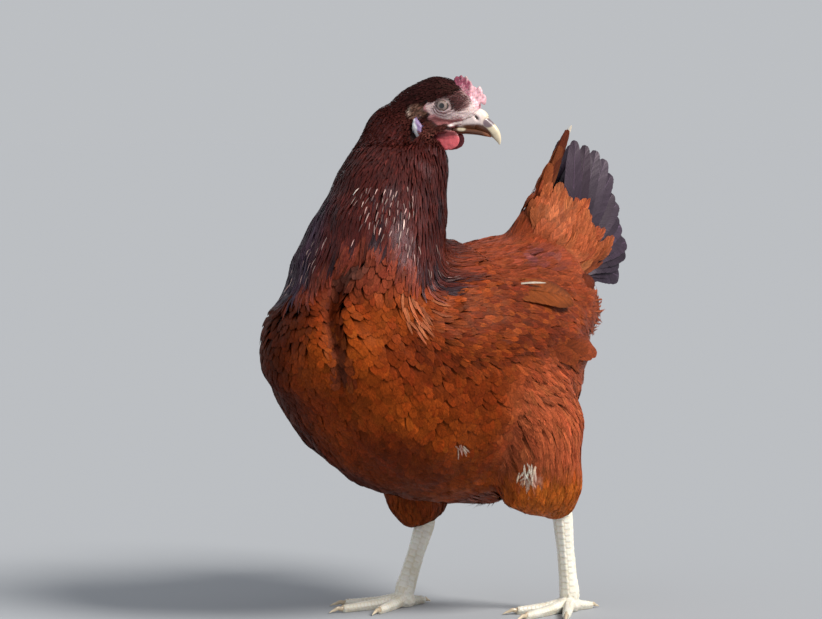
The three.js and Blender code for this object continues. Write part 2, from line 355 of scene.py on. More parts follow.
FURROW = [(33, -123, 305), (41, -134, 286), (34, -142, 277), (28, -148, 266), (28, -154, 252),
          (37, -159, 236), (45, -160, 220), (46, -157, 203), (43, -150, 184), (38, -140, 164)]
CREASES = [  # depth, half width and the line, all in millimetres
    (7.0, 4.0, FURROW),
    (8.0, 8.0, FURROW[2:8]),
    (4.5, 4.5, [(62, -62, 292), (80, -73, 268), (90, -80, 246)]),
    (3.5, 6.0, [(-26, -128, 300), (-52, -138, 262), (-62, -138, 225)]),
]


def press_creases(points, faces, part):
    """Furrows along the lines above, and folds where the wing or the thigh meets its neighbour."""
    normals = normals_of(points, faces)
    push = 0.6 * MM * ripple(points, 13 * MM, 21) + 0.9 * MM * ripple(points, 30 * MM, 22)
    for depth, half, line in CREASES:
        gap, along, _ = on_line(points, np.array(line) * MM)
        whole = along.max()
        fade = smooth(along / whole, 0, 0.25) * smooth(1 - along / whole, 0, 0.25)
        push += depth * MM * fade * np.exp(-((gap / (half * MM)) ** 2))
    for side, _ in SIDES:
        wing, thigh = part[:, PART["wing_" + side]], part[:, PART["thigh_" + side]]
        trunk = part[:, PART["trunk"]]
        push += 4.5 * MM * (4 * wing * thigh) ** 1.5 * smooth(points[:, 1], -0.055, -0.025)
        push += 1.5 * MM * (4 * thigh * trunk) ** 2
    return points - normals * push[:, None]


outline_points = press_creases(outline_points, outline_faces, shares)
outline_normals = normals_of(outline_points, outline_faces)
print("creases pressed in", len(CREASES))


# %% [markdown]
# ## The lie of the coat
# On a real bird the feathers lie back from the beak: down the neck, down and back over the
# breast, straight back along the wings, and down the thighs. Each part gets one direction.
# They are mixed by the shares above, pressed flat onto the surface, and evened out between
# neighbours, so the coat runs in smooth streams.

# %% Flow of the feathers
NAPE = on_head([-33, 0, -15])
NECK_BASE = np.array([0, middle("neck")[1] - 18 * MM, 230 * MM])
NECK_WAY = unit(NECK_BASE - NAPE)
TAIL_WAY = unit([0, 0.76, 0.65])
TAIL_HEART = np.array([0, 0.058, 0.232])


def wanted_way(points):
    """The direction that the feathers would like to take, before it is pressed flat."""
    ahead = smooth(-points[:, 1:2], 0.0, 0.11)
    high = smooth(points[:, 2:3], 0.2, 0.28)
    low_way = unit([0, 0.8, -0.55]) * (1 - ahead) + unit([0, 0.3, -0.95]) * ahead
    rear = smooth(points[:, 1:2], 0.06, 0.11)
    high_way = unit([0, 1, 0.05]) * (1 - rear) + unit([0, 0.85, 0.5]) * rear
    way = shares[:, PART["trunk"], None] * (low_way * (1 - high) + high_way * high)
    way = way + shares[:, PART["neck"], None] * NECK_WAY
    way = way + shares[:, PART["head"], None] * (-HEAD_FRONT - 0.35 * UP)
    way = way + shares[:, PART["tail"], None] * unit(points - TAIL_HEART) * 1.8
    hip = smooth(points[:, 2:3], 0.13, 0.19)
    for side, _ in SIDES:
        way = way + shares[:, PART["wing_" + side], None] * unit([0, 1, -0.12])
        leg_way = unit([0, 0.1, -1]) * (1 - hip) + unit([0, 0.75, -0.65]) * hip
        way = way + shares[:, PART["thigh_" + side], None] * leg_way
    swirl = 0.12 * np.stack([ripple(points, 45 * MM, s) for s in (71, 72, 73)], 1)
    return way + swirl


def flattened(way, normals):
    """Directions pressed flat onto the surface."""
    return unit(way - normals * (way * normals).sum(-1, keepdims=True))


outline_flow = flattened(wanted_way(outline_points), outline_normals)
for _ in range(6):
    outline_flow = flattened(relax(outline_flow, outline_faces, 4), outline_normals)
print("the flow runs", np.round(outline_flow.mean(0), 2), "on average")


# %% [markdown]
# ## Asking the surface
# A feather follows the body under it. To bend one, we step along the flow and drop each
# step back onto the outline, where we read the normal, the flow and the shares at that spot.

# %% Read the outline anywhere
NEAR = 0.2 * MM  # keeps the weight of a corner that is hit exactly within bounds
outline_tree = tree_of(outline_points, outline_faces)


def on_outline(points):
    """Nearest spots on the outline, and a reader that mixes a value from the corners round each."""
    found = [outline_tree.find_nearest(p) for p in np.asarray(points).tolist()]
    spots = np.array([f[0] for f in found])
    corners = outline_faces[[f[2] for f in found]]
    gap = np.linalg.norm(outline_points[corners] - spots[:, None], axis=2)
    weight = 1 / (gap + NEAR)
    weight = (weight / weight.sum(1, keepdims=True))[..., None]
    return spots, lambda values: (values[corners] * weight).sum(1)


print("the head's start lies", np.round(outline_tree.find_nearest(HEAD_START)[3] / MM, 1), "mm inside")


# %% [markdown]
# ## Scattering the roots
# Feathers grow evenly but not in a strict grid. We throw many random points on the skin and
# keep one only if no kept point is closer than the spacing wanted there, so the spacing can
# change smoothly from the tiny feathers of the face to the broad ones of the breast.

# %% Scatter points with a wanted spacing
NEXT_CELLS = [(i, j, k) for i in (-1, 0, 1) for j in (-1, 0, 1) for k in (-1, 0, 1)]
THROWS = 5.0  # points thrown for every square of one spacing
FACE_MIDDLES = outline_points[outline_faces].mean(1)


def scatter(chosen, spacing_of, seed, way, stretch):
    """Roots on the faces that chosen marks. spacing_of gives the spacing at each point.

    Along way the roots lie stretch times further apart, so that long feathers show as strands.
    """
    draw = np.random.default_rng(seed)
    quads = outline_points[outline_faces[chosen]]
    area = np.linalg.norm(np.cross(quads[:, 2] - quads[:, 0], quads[:, 3] - quads[:, 1]), axis=1) / 2
    spacing = spacing_of(FACE_MIDDLES[chosen])
    which = np.repeat(np.arange(len(quads)), draw.poisson(area / spacing**2 * THROWS / stretch))
    which = which[draw.permutation(len(which))]
    s, t = draw.random((2, len(which), 1))
    q = quads[which]
    points = (q[:, 0] * (1 - s) + q[:, 1] * s) * (1 - t) + (q[:, 3] * (1 - s) + q[:, 2] * s) * t
    limits = (spacing[which] ** 2).tolist()
    tested = points - way * ((points @ way) * (1 - 1 / stretch))[:, None]
    cells = np.floor(tested / float(spacing.max())).astype(int).tolist()
    kept, grid, plain = [], {}, tested.tolist()
    for n, (x, y, z) in enumerate(cells):
        px, py, pz = plain[n]
        near = (m for i, j, k in NEXT_CELLS for m in grid.get((x + i, y + j, z + k), ()))
        if all((px - qx) ** 2 + (py - qy) ** 2 + (pz - qz) ** 2 >= limits[n] for qx, qy, qz in near):
            kept.append(n)
            grid.setdefault((x, y, z), []).append(plain[n])
    return points[kept]


print("roots can lie on", len(FACE_MIDDLES), "faces")


# %% [markdown]
# ## One feather
# A vane is a shaft with barbs that slant forward on both sides. At life size single barbs
# are hairs, but they cling together in clumps, and the clumps give a feather its broken
# edge and silky streaks. So a feather here is a row of narrow clumps on each side of a
# shaft. Each is one bent strip, tipped a little so that it catches the light by itself, and
# a shade lighter or darker than the next. The template is flat and one unit long. Planting
# it bends it to the body.

# %% Feather templates
SHAFT_STOPS = (0.0, 0.35, 0.7, 0.97)
QUILL = 0.12  # the share of a feather's length that carries no barbs
ARCH = 0.07  # how far a vane bends down at its sides
VARIETY = 8  # different feathers of each kind


def feather_template(draw, clumps, tip, narrow, slant, loose, taper=0.5, streaks=0.15, rows=2,
                     shaft=0.05, lean=0.008):
    """Rows of (across, along, lift, tone): half widths, lengths, half widths and shade.

    tip rounds the end, from 0, pointed, to 1, blunt. narrow is the width at the base, slant
    how far barbs lean forward, loose how much they part, taper how thin they end, streaks
    how much their shades differ. lean tips each clump over the next.
    """
    points, faces = [], []

    def rim(q):
        a = q * math.pi / 2
        across = math.cos(a) ** (1.5 - tip) * min(1.0, narrow + 2.4 * q * (1 - narrow))
        return across, QUILL + (1 - QUILL) * math.sin(a) ** 0.95

    for side in (-1, 1):
        for n in range(clumps):
            first, last = n / clumps, min(1.0, (n + 1.25) / clumps)
            centre = (first + last) / 2
            stretch = 1 + loose * draw.uniform(-0.25, 0.3) + draw.uniform(-0.02, 0.02)
            tipped = lean * draw.uniform(0.5, 1.5) + loose * draw.uniform(-0.05, 0.10)
            tone = draw.normal(0, streaks)
            start = len(points)
            for row in range(rows + 1):
                s = row / rows
                for q, edge in ((first, 1), (last, -1)):
                    here = centre + (q - centre) * (1 - taper * s**2)
                    across, along = rim(here)
                    foot = along - slant * (1 - 0.6 * here)
                    reach = s * (stretch if row == rows else 1)
                    lift = -ARCH * (across * s) ** 2 + edge * tipped * (0.3 + s)
                    points.append((side * across * reach, foot + (along - foot) * reach, lift, tone))
            for row in range(rows):
                a = start + row * 2
                faces.append((a, a + 1, a + 3, a + 2) if side > 0 else (a, a + 2, a + 3, a + 1))
    for n, along in enumerate(SHAFT_STOPS):
        half = shaft * (1 - 0.75 * along)
        points.extend([(-half, along, 0.05, 0), (half, along, 0.05, 0)])
        if n:
            a = len(points) - 4
            faces.append((a, a + 1, a + 3, a + 2))
    return np.array(points), np.array(faces, np.int32)


def template_set(seed, clumps, tip, narrow, slant, loose, **shape):
    """Several feathers of one kind."""
    draw = np.random.default_rng(seed)
    return [feather_template(draw, clumps, tip, narrow, slant, loose, **shape) for _ in range(VARIETY)]


TEMPLATES = {  # seed, clumps, tip, narrow, slant and loose, then what differs from the usual
    "contour": template_set(1, 12, 0.95, 0.50, 0.30, 0.10, taper=0.15, streaks=0.07),
    "streak": template_set(2, 10, 0.80, 0.45, 0.42, 0.16, taper=0.3, streaks=0.12),
    "hackle": template_set(3, 6, 0.35, 0.50, 0.50, 0.14, taper=0.3, streaks=0.14),
    "fluff": template_set(4, 8, 0.70, 0.50, 0.62, 0.40, taper=0.6, streaks=0.16),
    "tiny": template_set(5, 3, 0.50, 0.60, 0.40, 0.20, streaks=0.2, rows=1),
    "flight": template_set(6, 30, 0.85, 0.70, 0.14, 0.05, taper=0.0, streaks=0.05, shaft=0.03, lean=0.003),
}
for name, made in TEMPLATES.items():
    print(name, "feather:", len(made[0][1]) * 2, "triangles")


# %% [markdown]
# ## Planting
# From each root a feather takes a few steps along the flow. Its base is sunk to the skin
# and rises quickly to the outline, so the part that shows lies nearly flat over the next
# one, and the coat is as smooth and tight as a living hen's.
# Every corner of the template is then carried to its place along that bent line.

# %% Bend feathers to the body
STEPS = 5
BASE_SUNK = 0.8  # how far down towards the skin a feather's base lies


def spines(roots, length, depth, seed, ruffle, lift, tip_up):
    """Bent lines of STEPS + 1 spots, one for each root, with the side and normal at each.

    ruffle turns each one at random, in radians, and lift and tip_up raise the whole feather
    and its tip.
    """
    draw = np.random.default_rng(seed)
    angle = draw.normal(0, ruffle, len(roots))
    cos, sin = np.cos(angle)[:, None], np.sin(angle)[:, None]
    spots, read = on_outline(roots)
    line, sides, ups = [], [], []
    for step in range(STEPS + 1):
        normal = unit(read(outline_normals))
        flow = flattened(read(outline_flow), normal)
        way = flow * cos + np.cross(flow, normal) * sin
        t = step / STEPS
        height = -BASE_SUNK * depth * (1 - t) ** 2.6 + lift + tip_up * length * t**3
        line.append(spots + normal * height[:, None])
        sides.append(np.cross(way, normal))
        ups.append(normal)
        if step < STEPS:
            spots, read = on_outline(spots + way * (length / STEPS)[:, None])
    return {"line": np.stack(line, 1), "side": np.stack(sides, 1), "up": np.stack(ups, 1)}


def planted(spine, width, kind, seed):
    """For each template: which feathers use it, its points and faces, and all their places."""
    draw = np.random.default_rng(seed)
    made = TEMPLATES[kind]
    pick = draw.integers(0, len(made), len(width))
    tilt = draw.normal(0, 0.05, len(width))
    for n, (points, faces) in enumerate(made):
        these = np.nonzero(pick == n)[0]
        if not len(these):
            continue
        along = points[:, 1] * STEPS
        base = np.clip(np.floor(along).astype(int), 0, STEPS - 1)
        part = (along - base)[None, :, None]
        place, side, up = (
            spine[key][these][:, base] * (1 - part) + spine[key][these][:, base + 1] * part
            for key in ("line", "side", "up")
        )
        half = (width[these] / 2)[:, None, None]
        cos, sin = np.cos(tilt[these])[:, None, None], np.sin(tilt[these])[:, None, None]
        across = (side * cos + up * sin) * points[:, 0][:, None] * half
        lift = (up * cos - side * sin) * points[:, 2][:, None] * half
        yield these, points, faces, place + across + lift


print("each feather bends at", STEPS - 1, "places")


# %% [markdown]
# ## The map for baking
# When the model is exported its colours are painted onto an image. Each feather gets a tiny
# square of that image, at its root's place on an unrolled skin. The skin is unrolled as a
# tube about the body's long axis: the angle round it gives one coordinate and the distance
# along it the other.

# %% Unroll the skin
PATCH = 0.003  # side of a feather's square, and the empty rim of the map, in widths of the map
MARGIN = 0.02


def unrolled(points, start, way):
    """Each point's place on a tube about an axis, fitted to the unit square."""
    way = unit(way)
    side = unit(np.cross(way, [0.31, 0.17, 0.93]))
    out = points - start
    turn = np.arctan2(out @ np.cross(way, side), out @ side)
    place = np.stack([turn, out @ way], 1)
    low, high = place.min(0), place.max(0)
    return MARGIN + (1 - 2 * MARGIN) * (place - low) / (high - low)


print("a patch is", PATCH, "of the map's width")


# %% [markdown]
# ## Colours of the coat
# One rule colours the skin and every feather, so the two always agree. The body is
# chestnut, redder on the back. The neck wears a cape of long dark feathers, almost black on
# the head, which opens at the front over a chestnut panel. That panel follows the turned
# neck, so it's found by the angle round the neck's own axis. Where the coat opens low on
# the thighs, a little white down shows.

# %% Plumage colours
CHESTNUT = np.array([0.175, 0.0245, 0.0035])
ORANGE = np.array([0.310, 0.058, 0.006])
RUSSET = np.array([0.225, 0.040, 0.0125])
MAHOGANY = np.array([0.070, 0.0115, 0.0080])
SOOT = np.array([0.020, 0.0085, 0.010])
# a purple painted into dark feathers as their sheen
PURPLE_SHEEN = np.array([0.052, 0.032, 0.060])
DOWN = np.array([0.78, 0.68, 0.56])
FURROW_SHADE = np.array([0.055, 0.015, 0.011])
FURROW_GREY = np.array([0.13, 0.055, 0.042])

NECK_HEIGHTS = np.array([226, 264, 300, 336, 364, 391]) * MM
NECK_MIDDLES = np.array([[0, -96], [0, -93], [0, -84], [-4, -67], [-11, -51], [-15, -45]]) * MM
PANEL_MIDDLE = -42  # degrees, seen from above
PANEL = ([250, 262, 276, 292, 306, 320], [95, 62, 46, 30, 14, -12])  # heights and half angles
DOWNY = [((75, -67, 149), 7), ((80, 3, 125), 9), ((-75, -89, 148), 7), ((-79, -28, 120), 8)]
# a spot of painted purple sheen on each side of the back, and its half sizes
PURPLE_SHEEN_SPOT = ((42, 36, 281), (18, 26, 13))  # a spot on each side of the back, and its half sizes


def round_the_neck(points):
    """Angle in degrees from the middle of the panel: 0 in front, growing to both sides."""
    x = np.interp(points[:, 2], NECK_HEIGHTS, NECK_MIDDLES[:, 0])
    y = np.interp(points[:, 2], NECK_HEIGHTS, NECK_MIDDLES[:, 1])
    angle = np.degrees(np.arctan2(points[:, 1] - y, points[:, 0] - x))
    return (angle - PANEL_MIDDLE + 180) % 360 - 180


print("the panel is open below", PANEL[0][-1], "mm")


# %% Colours of the trunk
def share_of(part, *names):
    """How much of each point belongs to the named parts."""
    return sum(part[:, PART[name]] for name in names)


def trunk_colour(points, patchy):
    """Chestnut in front and russet on the back, with painted shade on the right side and below, where it is
    partly a duller belly.
    """
    x, y, z = points.T
    warm = np.clip(0.30 + 0.30 * patchy, 0, 1) * smooth(points @ [1, -0.3, 0], -0.02, 0.06)
    body = mix(CHESTNUT, ORANGE, warm)
    body = mix(body, RUSSET, smooth(z, 0.22, 0.27) * smooth(y, -0.08, -0.02))
    # painted shade low on the breast, partly a duller belly
    body = mix(body, CHESTNUT * 0.55, smooth(-z, -0.175, -0.11) * smooth(-y, 0.03, 0.08) * 0.8)
    # painted shade on the right side, away from the light
    right = smooth(-x, -0.03, 0.02) * smooth(-y, 0.06, 0.12)
    return mix(body, CHESTNUT * [0.28, 0.24, 0.2], right * 0.9)


def side_colour(points, part, fine, body):
    """Mottled wings with a purple sheen painted in a spot over each, and the silkier and paler thighs and
    rump, with painted shade on the right thigh and painted light on the left flank.
    """
    x, y, z = points.T
    wing = share_of(part, "wing_left", "wing_right")
    mottle = smooth(ripple(points, 5 * MM, 13), -0.6, 1.0)
    body = mix(body, mix(RUSSET * [0.50, 0.38, 0.35], RUSSET * [1.05, 1.05, 0.55], mottle), wing * 0.85)
    # painted purple sheen over the wings
    sheen_spot = smooth(1.3 - gap_from(both_sides(points), *PURPLE_SHEEN_SPOT), 0, 0.7) * smooth(fine, -0.8, 0.6)
    body = mix(body, mix(PURPLE_SHEEN, RUSSET, 0.45), sheen_spot * 0.8)
    thigh = share_of(part, "thigh_left", "thigh_right")
    silk = mix(RUSSET * [2.1, 2.4, 2.3], ORANGE * [1.55, 1.9, 2.2], smooth(-z, -0.15, -0.11))
    # painted shade on the right thigh
    silk = mix(silk, CHESTNUT * 0.7, smooth(-x, -0.01, 0.01) * 0.8)
    body = mix(body, silk, thigh * 0.9)
    rear = smooth(np.abs(x), 0.05, 0.075) * smooth(y, -0.05, -0.015)
    rear = rear * smooth(z, 0.115, 0.14) * smooth(-z, -0.222, -0.20)
    # painted light: the flank is paler on the left side only, where the light falls
    body = mix(body, RUSSET * [1.5, 1.85, 2.3], rear * (1 - wing) * smooth(x, -0.02, 0.02) * 0.8)
    rump = smooth(share_of(part, "tail") + 0.5 * smooth(y, 0.05, 0.10), 0.2, 0.8)
    body = mix(body, RUSSET * [1.3, 1.7, 1.9], rump)
    for centre, size in DOWNY:
        down = smooth(1.25 - gap_from(points, centre, size) + 0.25 * ripple(points, 4 * MM, 14), 0, 1.0)
        body = mix(body, DOWN, 0.75 * down * smooth(thigh, 0.4, 0.8))
    return body


print("downy spots", len(DOWNY))


# %% Colours of the neck, and the whole rule
def cape_colour(z, angle, fine):
    """Mahogany, sooty towards its hem, with a purple sheen on the right and russet behind."""
    colour = mix(MAHOGANY, SOOT, smooth(fine + 0.7 * smooth(-z, -0.31, -0.26), 0.2, 1.2))
    colour = mix(colour, PURPLE_SHEEN * 0.8, smooth(-angle, 38, 60) * 0.7 * smooth(0.36 - z, 0, 0.03))
    colour = mix(colour, MAHOGANY * 0.75, smooth(z, 0.33, 0.36))
    behind = smooth(-np.abs((angle + 48) % 360 - 180), -75, -45)
    return mix(colour, RUSSET * 0.85, behind * smooth(-z, -0.318, -0.288) * 0.95)


def coat_colour(points, part):
    """Colour of the coat at points, from their place and their shares of each part."""
    z = points[:, 2]
    patchy = ripple(points, 35 * MM, 11)
    fine = ripple(points, 9 * MM, 12)
    body = side_colour(points, part, fine, trunk_colour(points, patchy))
    neck = share_of(part, "neck", "head")
    body = mix(body, RUSSET * [0.90, 0.95, 1.5], smooth(z, 0.250, 0.285) * smooth(neck, 0.2, 0.5))
    # painted shade in the breast furrow, turning grey higher up like the down at the feathers' bases
    gap = on_line(points, np.array(FURROW[1:8]) * MM)[0]
    furrow_shade_and_down = mix(FURROW_SHADE, FURROW_GREY, smooth(z, 0.255, 0.27))
    body = mix(body, furrow_shade_and_down, 0.85 * np.exp(-((gap / (7 * MM)) ** 4)))
    angle = round_the_neck(points)
    cape = smooth(np.abs(angle) - np.interp(z / MM, *PANEL) + 9 * fine, -5, 9)
    cape = cape * smooth(z + 0.006 * patchy, 0.252, 0.262)
    body = mix(body, cape_colour(z, angle, fine), cape * smooth(neck, 0.15, 0.5))
    body = mix(body, mix(SOOT * 1.1, MAHOGANY, 0.3), share_of(part, "head") * 0.9)
    return body * (1 + 0.10 * fine + 0.08 * patchy)[:, None]


print("mean colour of the coat", np.round(coat_colour(outline_points, shares).mean(0), 3))


# %% [markdown]
# ## The feather material
# A feather's colour comes from the coat's rule, carried on the mesh. Fine slanted lines
# across each vane darken and lift it a little, as barbs do, and a broad soft gloss runs
# along them. One material serves the whole coat, because only the colours differ.

# %% Shader helpers
def new_material(name, **sockets):
    """A material, its node tree and its shader, with plain values on the shader's sockets."""
    material = bpy.data.materials.new(name)
    material.use_nodes = True
    shader = material.node_tree.nodes["Principled BSDF"]
    for socket, value in sockets.items():
        shader.inputs[socket.replace("_", " ")].default_value = value
    return material, material.node_tree, shader


def node(tree, kind, inputs=None, **settings):
    """A new node, with values for its inputs and its settings."""
    made = tree.nodes.new(kind)
    for name, value in settings.items():
        setattr(made, name, value)
    for name, value in (inputs or {}).items():
        made.inputs[name].default_value = value
    return made


def linked(tree, *pairs):
    """Wires from the first socket of each pair to the second."""
    for source, target in pairs:
        tree.links.new(source, target)


def coat_tint(tree, shader, strength, low, high):
    """Base colour from the Coat colours, made darker and lighter by strength, from 0 to 1."""
    colour = node(tree, "ShaderNodeAttribute", attribute_name="Coat")
    span = node(tree, "ShaderNodeMapRange", {"To Min": low, "To Max": high})
    dim = node(tree, "ShaderNodeMix", {0: 1.0}, data_type="RGBA", blend_type="MULTIPLY")
    linked(
        tree,
        (strength, span.inputs[0]),
        (colour.outputs["Color"], dim.inputs[6]),
        (span.outputs[0], dim.inputs[7]),
        (dim.outputs[2], shader.inputs["Base Color"]),
    )


def bump_from(tree, shader, height, strength, distance):
    """Small relief from a height, distance metres deep."""
    bump = node(tree, "ShaderNodeBump", {"Strength": strength, "Distance": distance})
    linked(tree, (height, bump.inputs["Height"]), (bump.outputs[0], shader.inputs["Normal"]))


def object_noise(tree, scale, detail, **settings):
    """Noise that stays with the object, in bumps of about one over scale metres."""
    place = node(tree, "ShaderNodeTexCoord")
    noise = node(tree, "ShaderNodeTexNoise", {"Scale": scale, "Detail": detail, **settings})
    linked(tree, (place.outputs["Object"], noise.inputs["Vector"]))
    return noise.outputs[0]


print("helpers for materials are ready")


# %% The feather material
def math_node(tree, operation, first, second=None):
    """A sum on one or two values, each a socket or a plain number."""
    made = node(tree, "ShaderNodeMath", operation=operation)
    for place, value in enumerate((first, second)):
        if isinstance(value, (int, float)):
            made.inputs[place].default_value = value
        elif value is not None:
            tree.links.new(value, made.inputs[place])
    return made.outputs[0]


def feather_material(name, roughness, gloss, sheen, rim, streaks):
    """Streaks along the barbs, a fine grain, and a rim darker by rim with a paler band inside it.

    The Vane map holds how far across and along its feather a point is. Each feather adds its
    own even number to the second, so that no two feathers have the same streaks.
    """
    material, tree, shader = new_material(name, Roughness=roughness, Specular_IOR_Level=gloss,
                                          Specular_Tint=(*sheen, 1))
    vane = node(tree, "ShaderNodeUVMap", uv_map="Vane")
    split = node(tree, "ShaderNodeSeparateXYZ")
    linked(tree, (vane.outputs[0], split.inputs[0]))
    across = math_node(tree, "ABSOLUTE", split.outputs[0])
    along = math_node(tree, "MODULO", split.outputs[1], 2.0)
    own = math_node(tree, "SUBTRACT", split.outputs[1], along)
    barb = math_node(tree, "ADD", math_node(tree, "MULTIPLY", across, -0.35), along)
    streak_place = node(tree, "ShaderNodeCombineXYZ")
    streak = node(tree, "ShaderNodeTexNoise", {"Scale": 1.0, "Detail": 3.0, "Roughness": 0.7})
    linked(
        tree,
        (math_node(tree, "MULTIPLY", barb, 16.0), streak_place.inputs[0]),
        (math_node(tree, "MULTIPLY", split.outputs[0], 1.2), streak_place.inputs[1]),
        (math_node(tree, "MULTIPLY", own, 3.7), streak_place.inputs[2]),
        (streak_place.outputs[0], streak.inputs["Vector"]),
    )
    streaked = math_node(tree, "MULTIPLY", math_node(tree, "SUBTRACT", streak.outputs[0], 0.5), streaks)
    lined = math_node(tree, "ADD", streaked, object_noise(tree, 700.0, 4.0, Roughness=0.65))
    ahead = math_node(tree, "DIVIDE", math_node(tree, "SUBTRACT", along, QUILL), 1 - QUILL)
    ahead = math_node(tree, "POWER", math_node(tree, "MAXIMUM", ahead, 0.0), 2.1)
    outward = math_node(tree, "ADD", math_node(tree, "POWER", across, 3.6), ahead)
    edge = node(tree, "ShaderNodeMapRange", {"From Min": 0.82, "From Max": 1.0, "To Max": -rim})
    band = node(tree, "ShaderNodeMapRange", {"From Min": 0.40, "From Max": 0.80, "To Max": 0.45 * rim})
    linked(tree, (outward, edge.inputs[0]), (outward, band.inputs[0]))
    both = math_node(tree, "ADD", lined, math_node(tree, "ADD", edge.outputs[0], band.outputs[0]))
    coat_tint(tree, shader, both, 0.40, 1.60)
    bump_from(tree, shader, lined, 0.3, 0.0003)
    return material


WARM = (1.0, 0.62, 0.45)
COOL = (0.95, 0.80, 0.90)
FEATHER = feather_material("feather", 0.55, 0.10, WARM, 0.16, 1.3)
SILK = feather_material("silky feather", 0.48, 0.16, WARM, 0.05, 1.4)
DARK_FEATHER = feather_material("glossy dark feather", 0.36, 0.19, COOL, 0.05, 1.2)
TAIL_FEATHER = feather_material("stiff tail feather", 0.42, 0.35, COOL, 0.08, 0.7)
print("feather materials", [m.name for m in (FEATHER, SILK, DARK_FEATHER, TAIL_FEATHER)])


# %% [markdown]
# ## The bare places of the head
# The face of a hen is naked skin: round the eye, down to the mouth and out to the beak. No
# feather may grow there. Each bare place is an ellipse seen from the side of the head, and
# together they make the mask that keeps feathers off and turns the skin pink.

# %% Bare skin on the head
BARE_PLACES = [  # along, up, half length, half height
    (3.1, -3.0, 6.4, 6.2),
    (-5.0, -4.5, 6.5, 6.0),
    (4, -11.5, 12.5, 6.5),
    (16, -9, 10.0, 7.5),
    (10, 1.5, 5.0, 4.5),
    (16.5, 1.5, 6.5, 7.0),
    (13, -18, 9.0, 3.4),
    (26, -8, 9.0, 9.5),
    (6, -25, 10.5, 3.6),
    (-17, -20.5, 4.0, 8.8),
]
COMB_FOOT = ([8, 9.3, 12.5, 16.2, 20, 22.5, 23.5, 24.5, 30],  # along
             [19, 17, 12.5, 8.2, 6.0, 4.0, -1, -4.5, -6.5])  # up


def above_comb_foot(points):
    """Height in millimetres over the line where the comb grows out of the forehead."""
    return points[:, 2] - np.interp(points[:, 0], *COMB_FOOT)


def seen_from_side(points, along, up, half, tall):
    """Distance from a spot on the side of the head, where 1 is the edge of an ellipse."""
    return np.hypot((points[:, 0] - along) / half, (points[:, 2] - up) / tall)


def bareness(points):
    """1 on naked skin, 0 under feathers, from head millimetres."""
    best = np.full(len(points), -np.inf)
    for place in BARE_PLACES:
        best = np.maximum(best, (1 - seen_from_side(points, *place)) * min(place[2:]))
    crest = np.minimum(7.0 - np.abs(points[:, 1]), 0.8 * above_comb_foot(points))
    crest = crest - 4 * smooth(8.8 - points[:, 0], 0, 1.5)
    return smooth(np.maximum(best, crest) + 0.6 * ripple(points, 4.0, 31), -0.5, 0.9)


print("bare places", len(BARE_PLACES))


# %% [markdown]
# ## Growing one tract
# A bird's feathers grow in tracts, and each tract has its own length, width and kind of
# feather. Two functions make one. The first turns bent lines into one object: it places the
# feathers, colours every corner and gives each feather its square of the bake map. The
# second scatters the roots and bends the lines for it.

# %% Feathers from bent lines
def feather_colours(root, points, edge, base, own, shaft, draw):
    """Colour of every corner: dimmer by base towards the root, as painted shade under the feather lying over
    it and partly a darker base, lighter by edge at the rim.

    own is how much one feather's colour differs from the next, shaft how bright its shaft is.
    """
    across, along = np.abs(points[:, 0]), points[:, 1]
    # painted shade under the feather lying over this one, partly a darker base
    shaded_base = smooth(0.78 - along, 0.0, 0.45) * base
    rim = smooth(along + 0.45 * across**2, 0.88, 1.14) * edge
    factor = (1 - shaded_base) * (1 + rim) * np.exp(points[:, 3])
    factor[-2 * len(SHAFT_STOPS):] *= shaft
    shade = root * np.exp(draw.normal(0, own, (len(root), 1)))
    shade = shade * (1 + draw.normal(0, 0.05, (len(root), 1)) * [[-0.3, 1.0, 0.6]])
    return shade[:, None] * factor[None, :, None]


def feathers(name, spine, width, kind, seed, shade, axis, material, edge, base, own, shaft,
             replaces=()):
    """One object from bent lines. shade is each feather's colour, axis unrolls its roots."""
    draw = np.random.default_rng(seed)
    uv = unrolled(spine["line"][:, 0], *axis)
    points, faces, colours, vane, bake, start = [], [], [], [], [], 0
    for these, flat, corners, world in planted(spine, width, kind, seed + 1):
        count, each = world.shape[:2]
        points.append(world.reshape(-1, 3))
        faces.append((corners[None] + start + np.arange(count)[:, None, None] * each).reshape(-1, 4))
        start += count * each
        colours.append(feather_colours(shade[these], flat, edge, base, own, shaft, draw).reshape(-1, 3))
        own_number = np.repeat(2.0 * draw.integers(1, 60, count), each)
        vane.append(np.tile(flat[:, :2], (count, 1)) + np.stack([own_number * 0, own_number], 1))
        square = (flat[:, :2] * [0.5, 1] - [0, 0.5]) * PATCH
        bake.append((uv[these][:, None] + square[None]).reshape(-1, 2))
    obj = make_object(name, np.concatenate(points), np.concatenate(faces), [material])
    add_uv(obj, "OFBake", np.concatenate(bake))
    add_uv(obj, "Vane", np.concatenate(vane))
    add_colours(obj, np.concatenate(colours))
    print(len(width), "feathers,", 2 * len(obj.data.polygons), "triangles:")
    finished(obj, replaces)


print("feathers can be made of these kinds:", list(TEMPLATES))


# %% Where feathers may grow, and their sizes
SKIN_DEPTHS = {"trunk": 6, "neck": 5, "head": 1, "wing_left": 4, "wing_right": 4,
               "thigh_left": 6, "thigh_right": 6, "tail": 9}
SKIN_DEPTH = np.array([SKIN_DEPTHS[name] for name in PARTS]) * MM
BODY_AXIS = (np.array([0, -0.15, 0.2]), BACK)
FACE_SHARES = shares[outline_faces].mean(1)
TRACT = FACE_SHARES.argmax(1)


def depth_at(points, part):
    """How far the skin lies below the outline: less where the leg gets thin."""
    return part @ SKIN_DEPTH * (0.3 + 0.7 * smooth(points[:, 2], 0.085, 0.15))


def tract(*names):
    """The faces of the outline that belong to the named parts."""
    return np.isin(TRACT, [PART[n] for n in names])


def size(value):
    """The same size in millimetres everywhere."""
    return lambda points: np.full(len(points), value * MM)


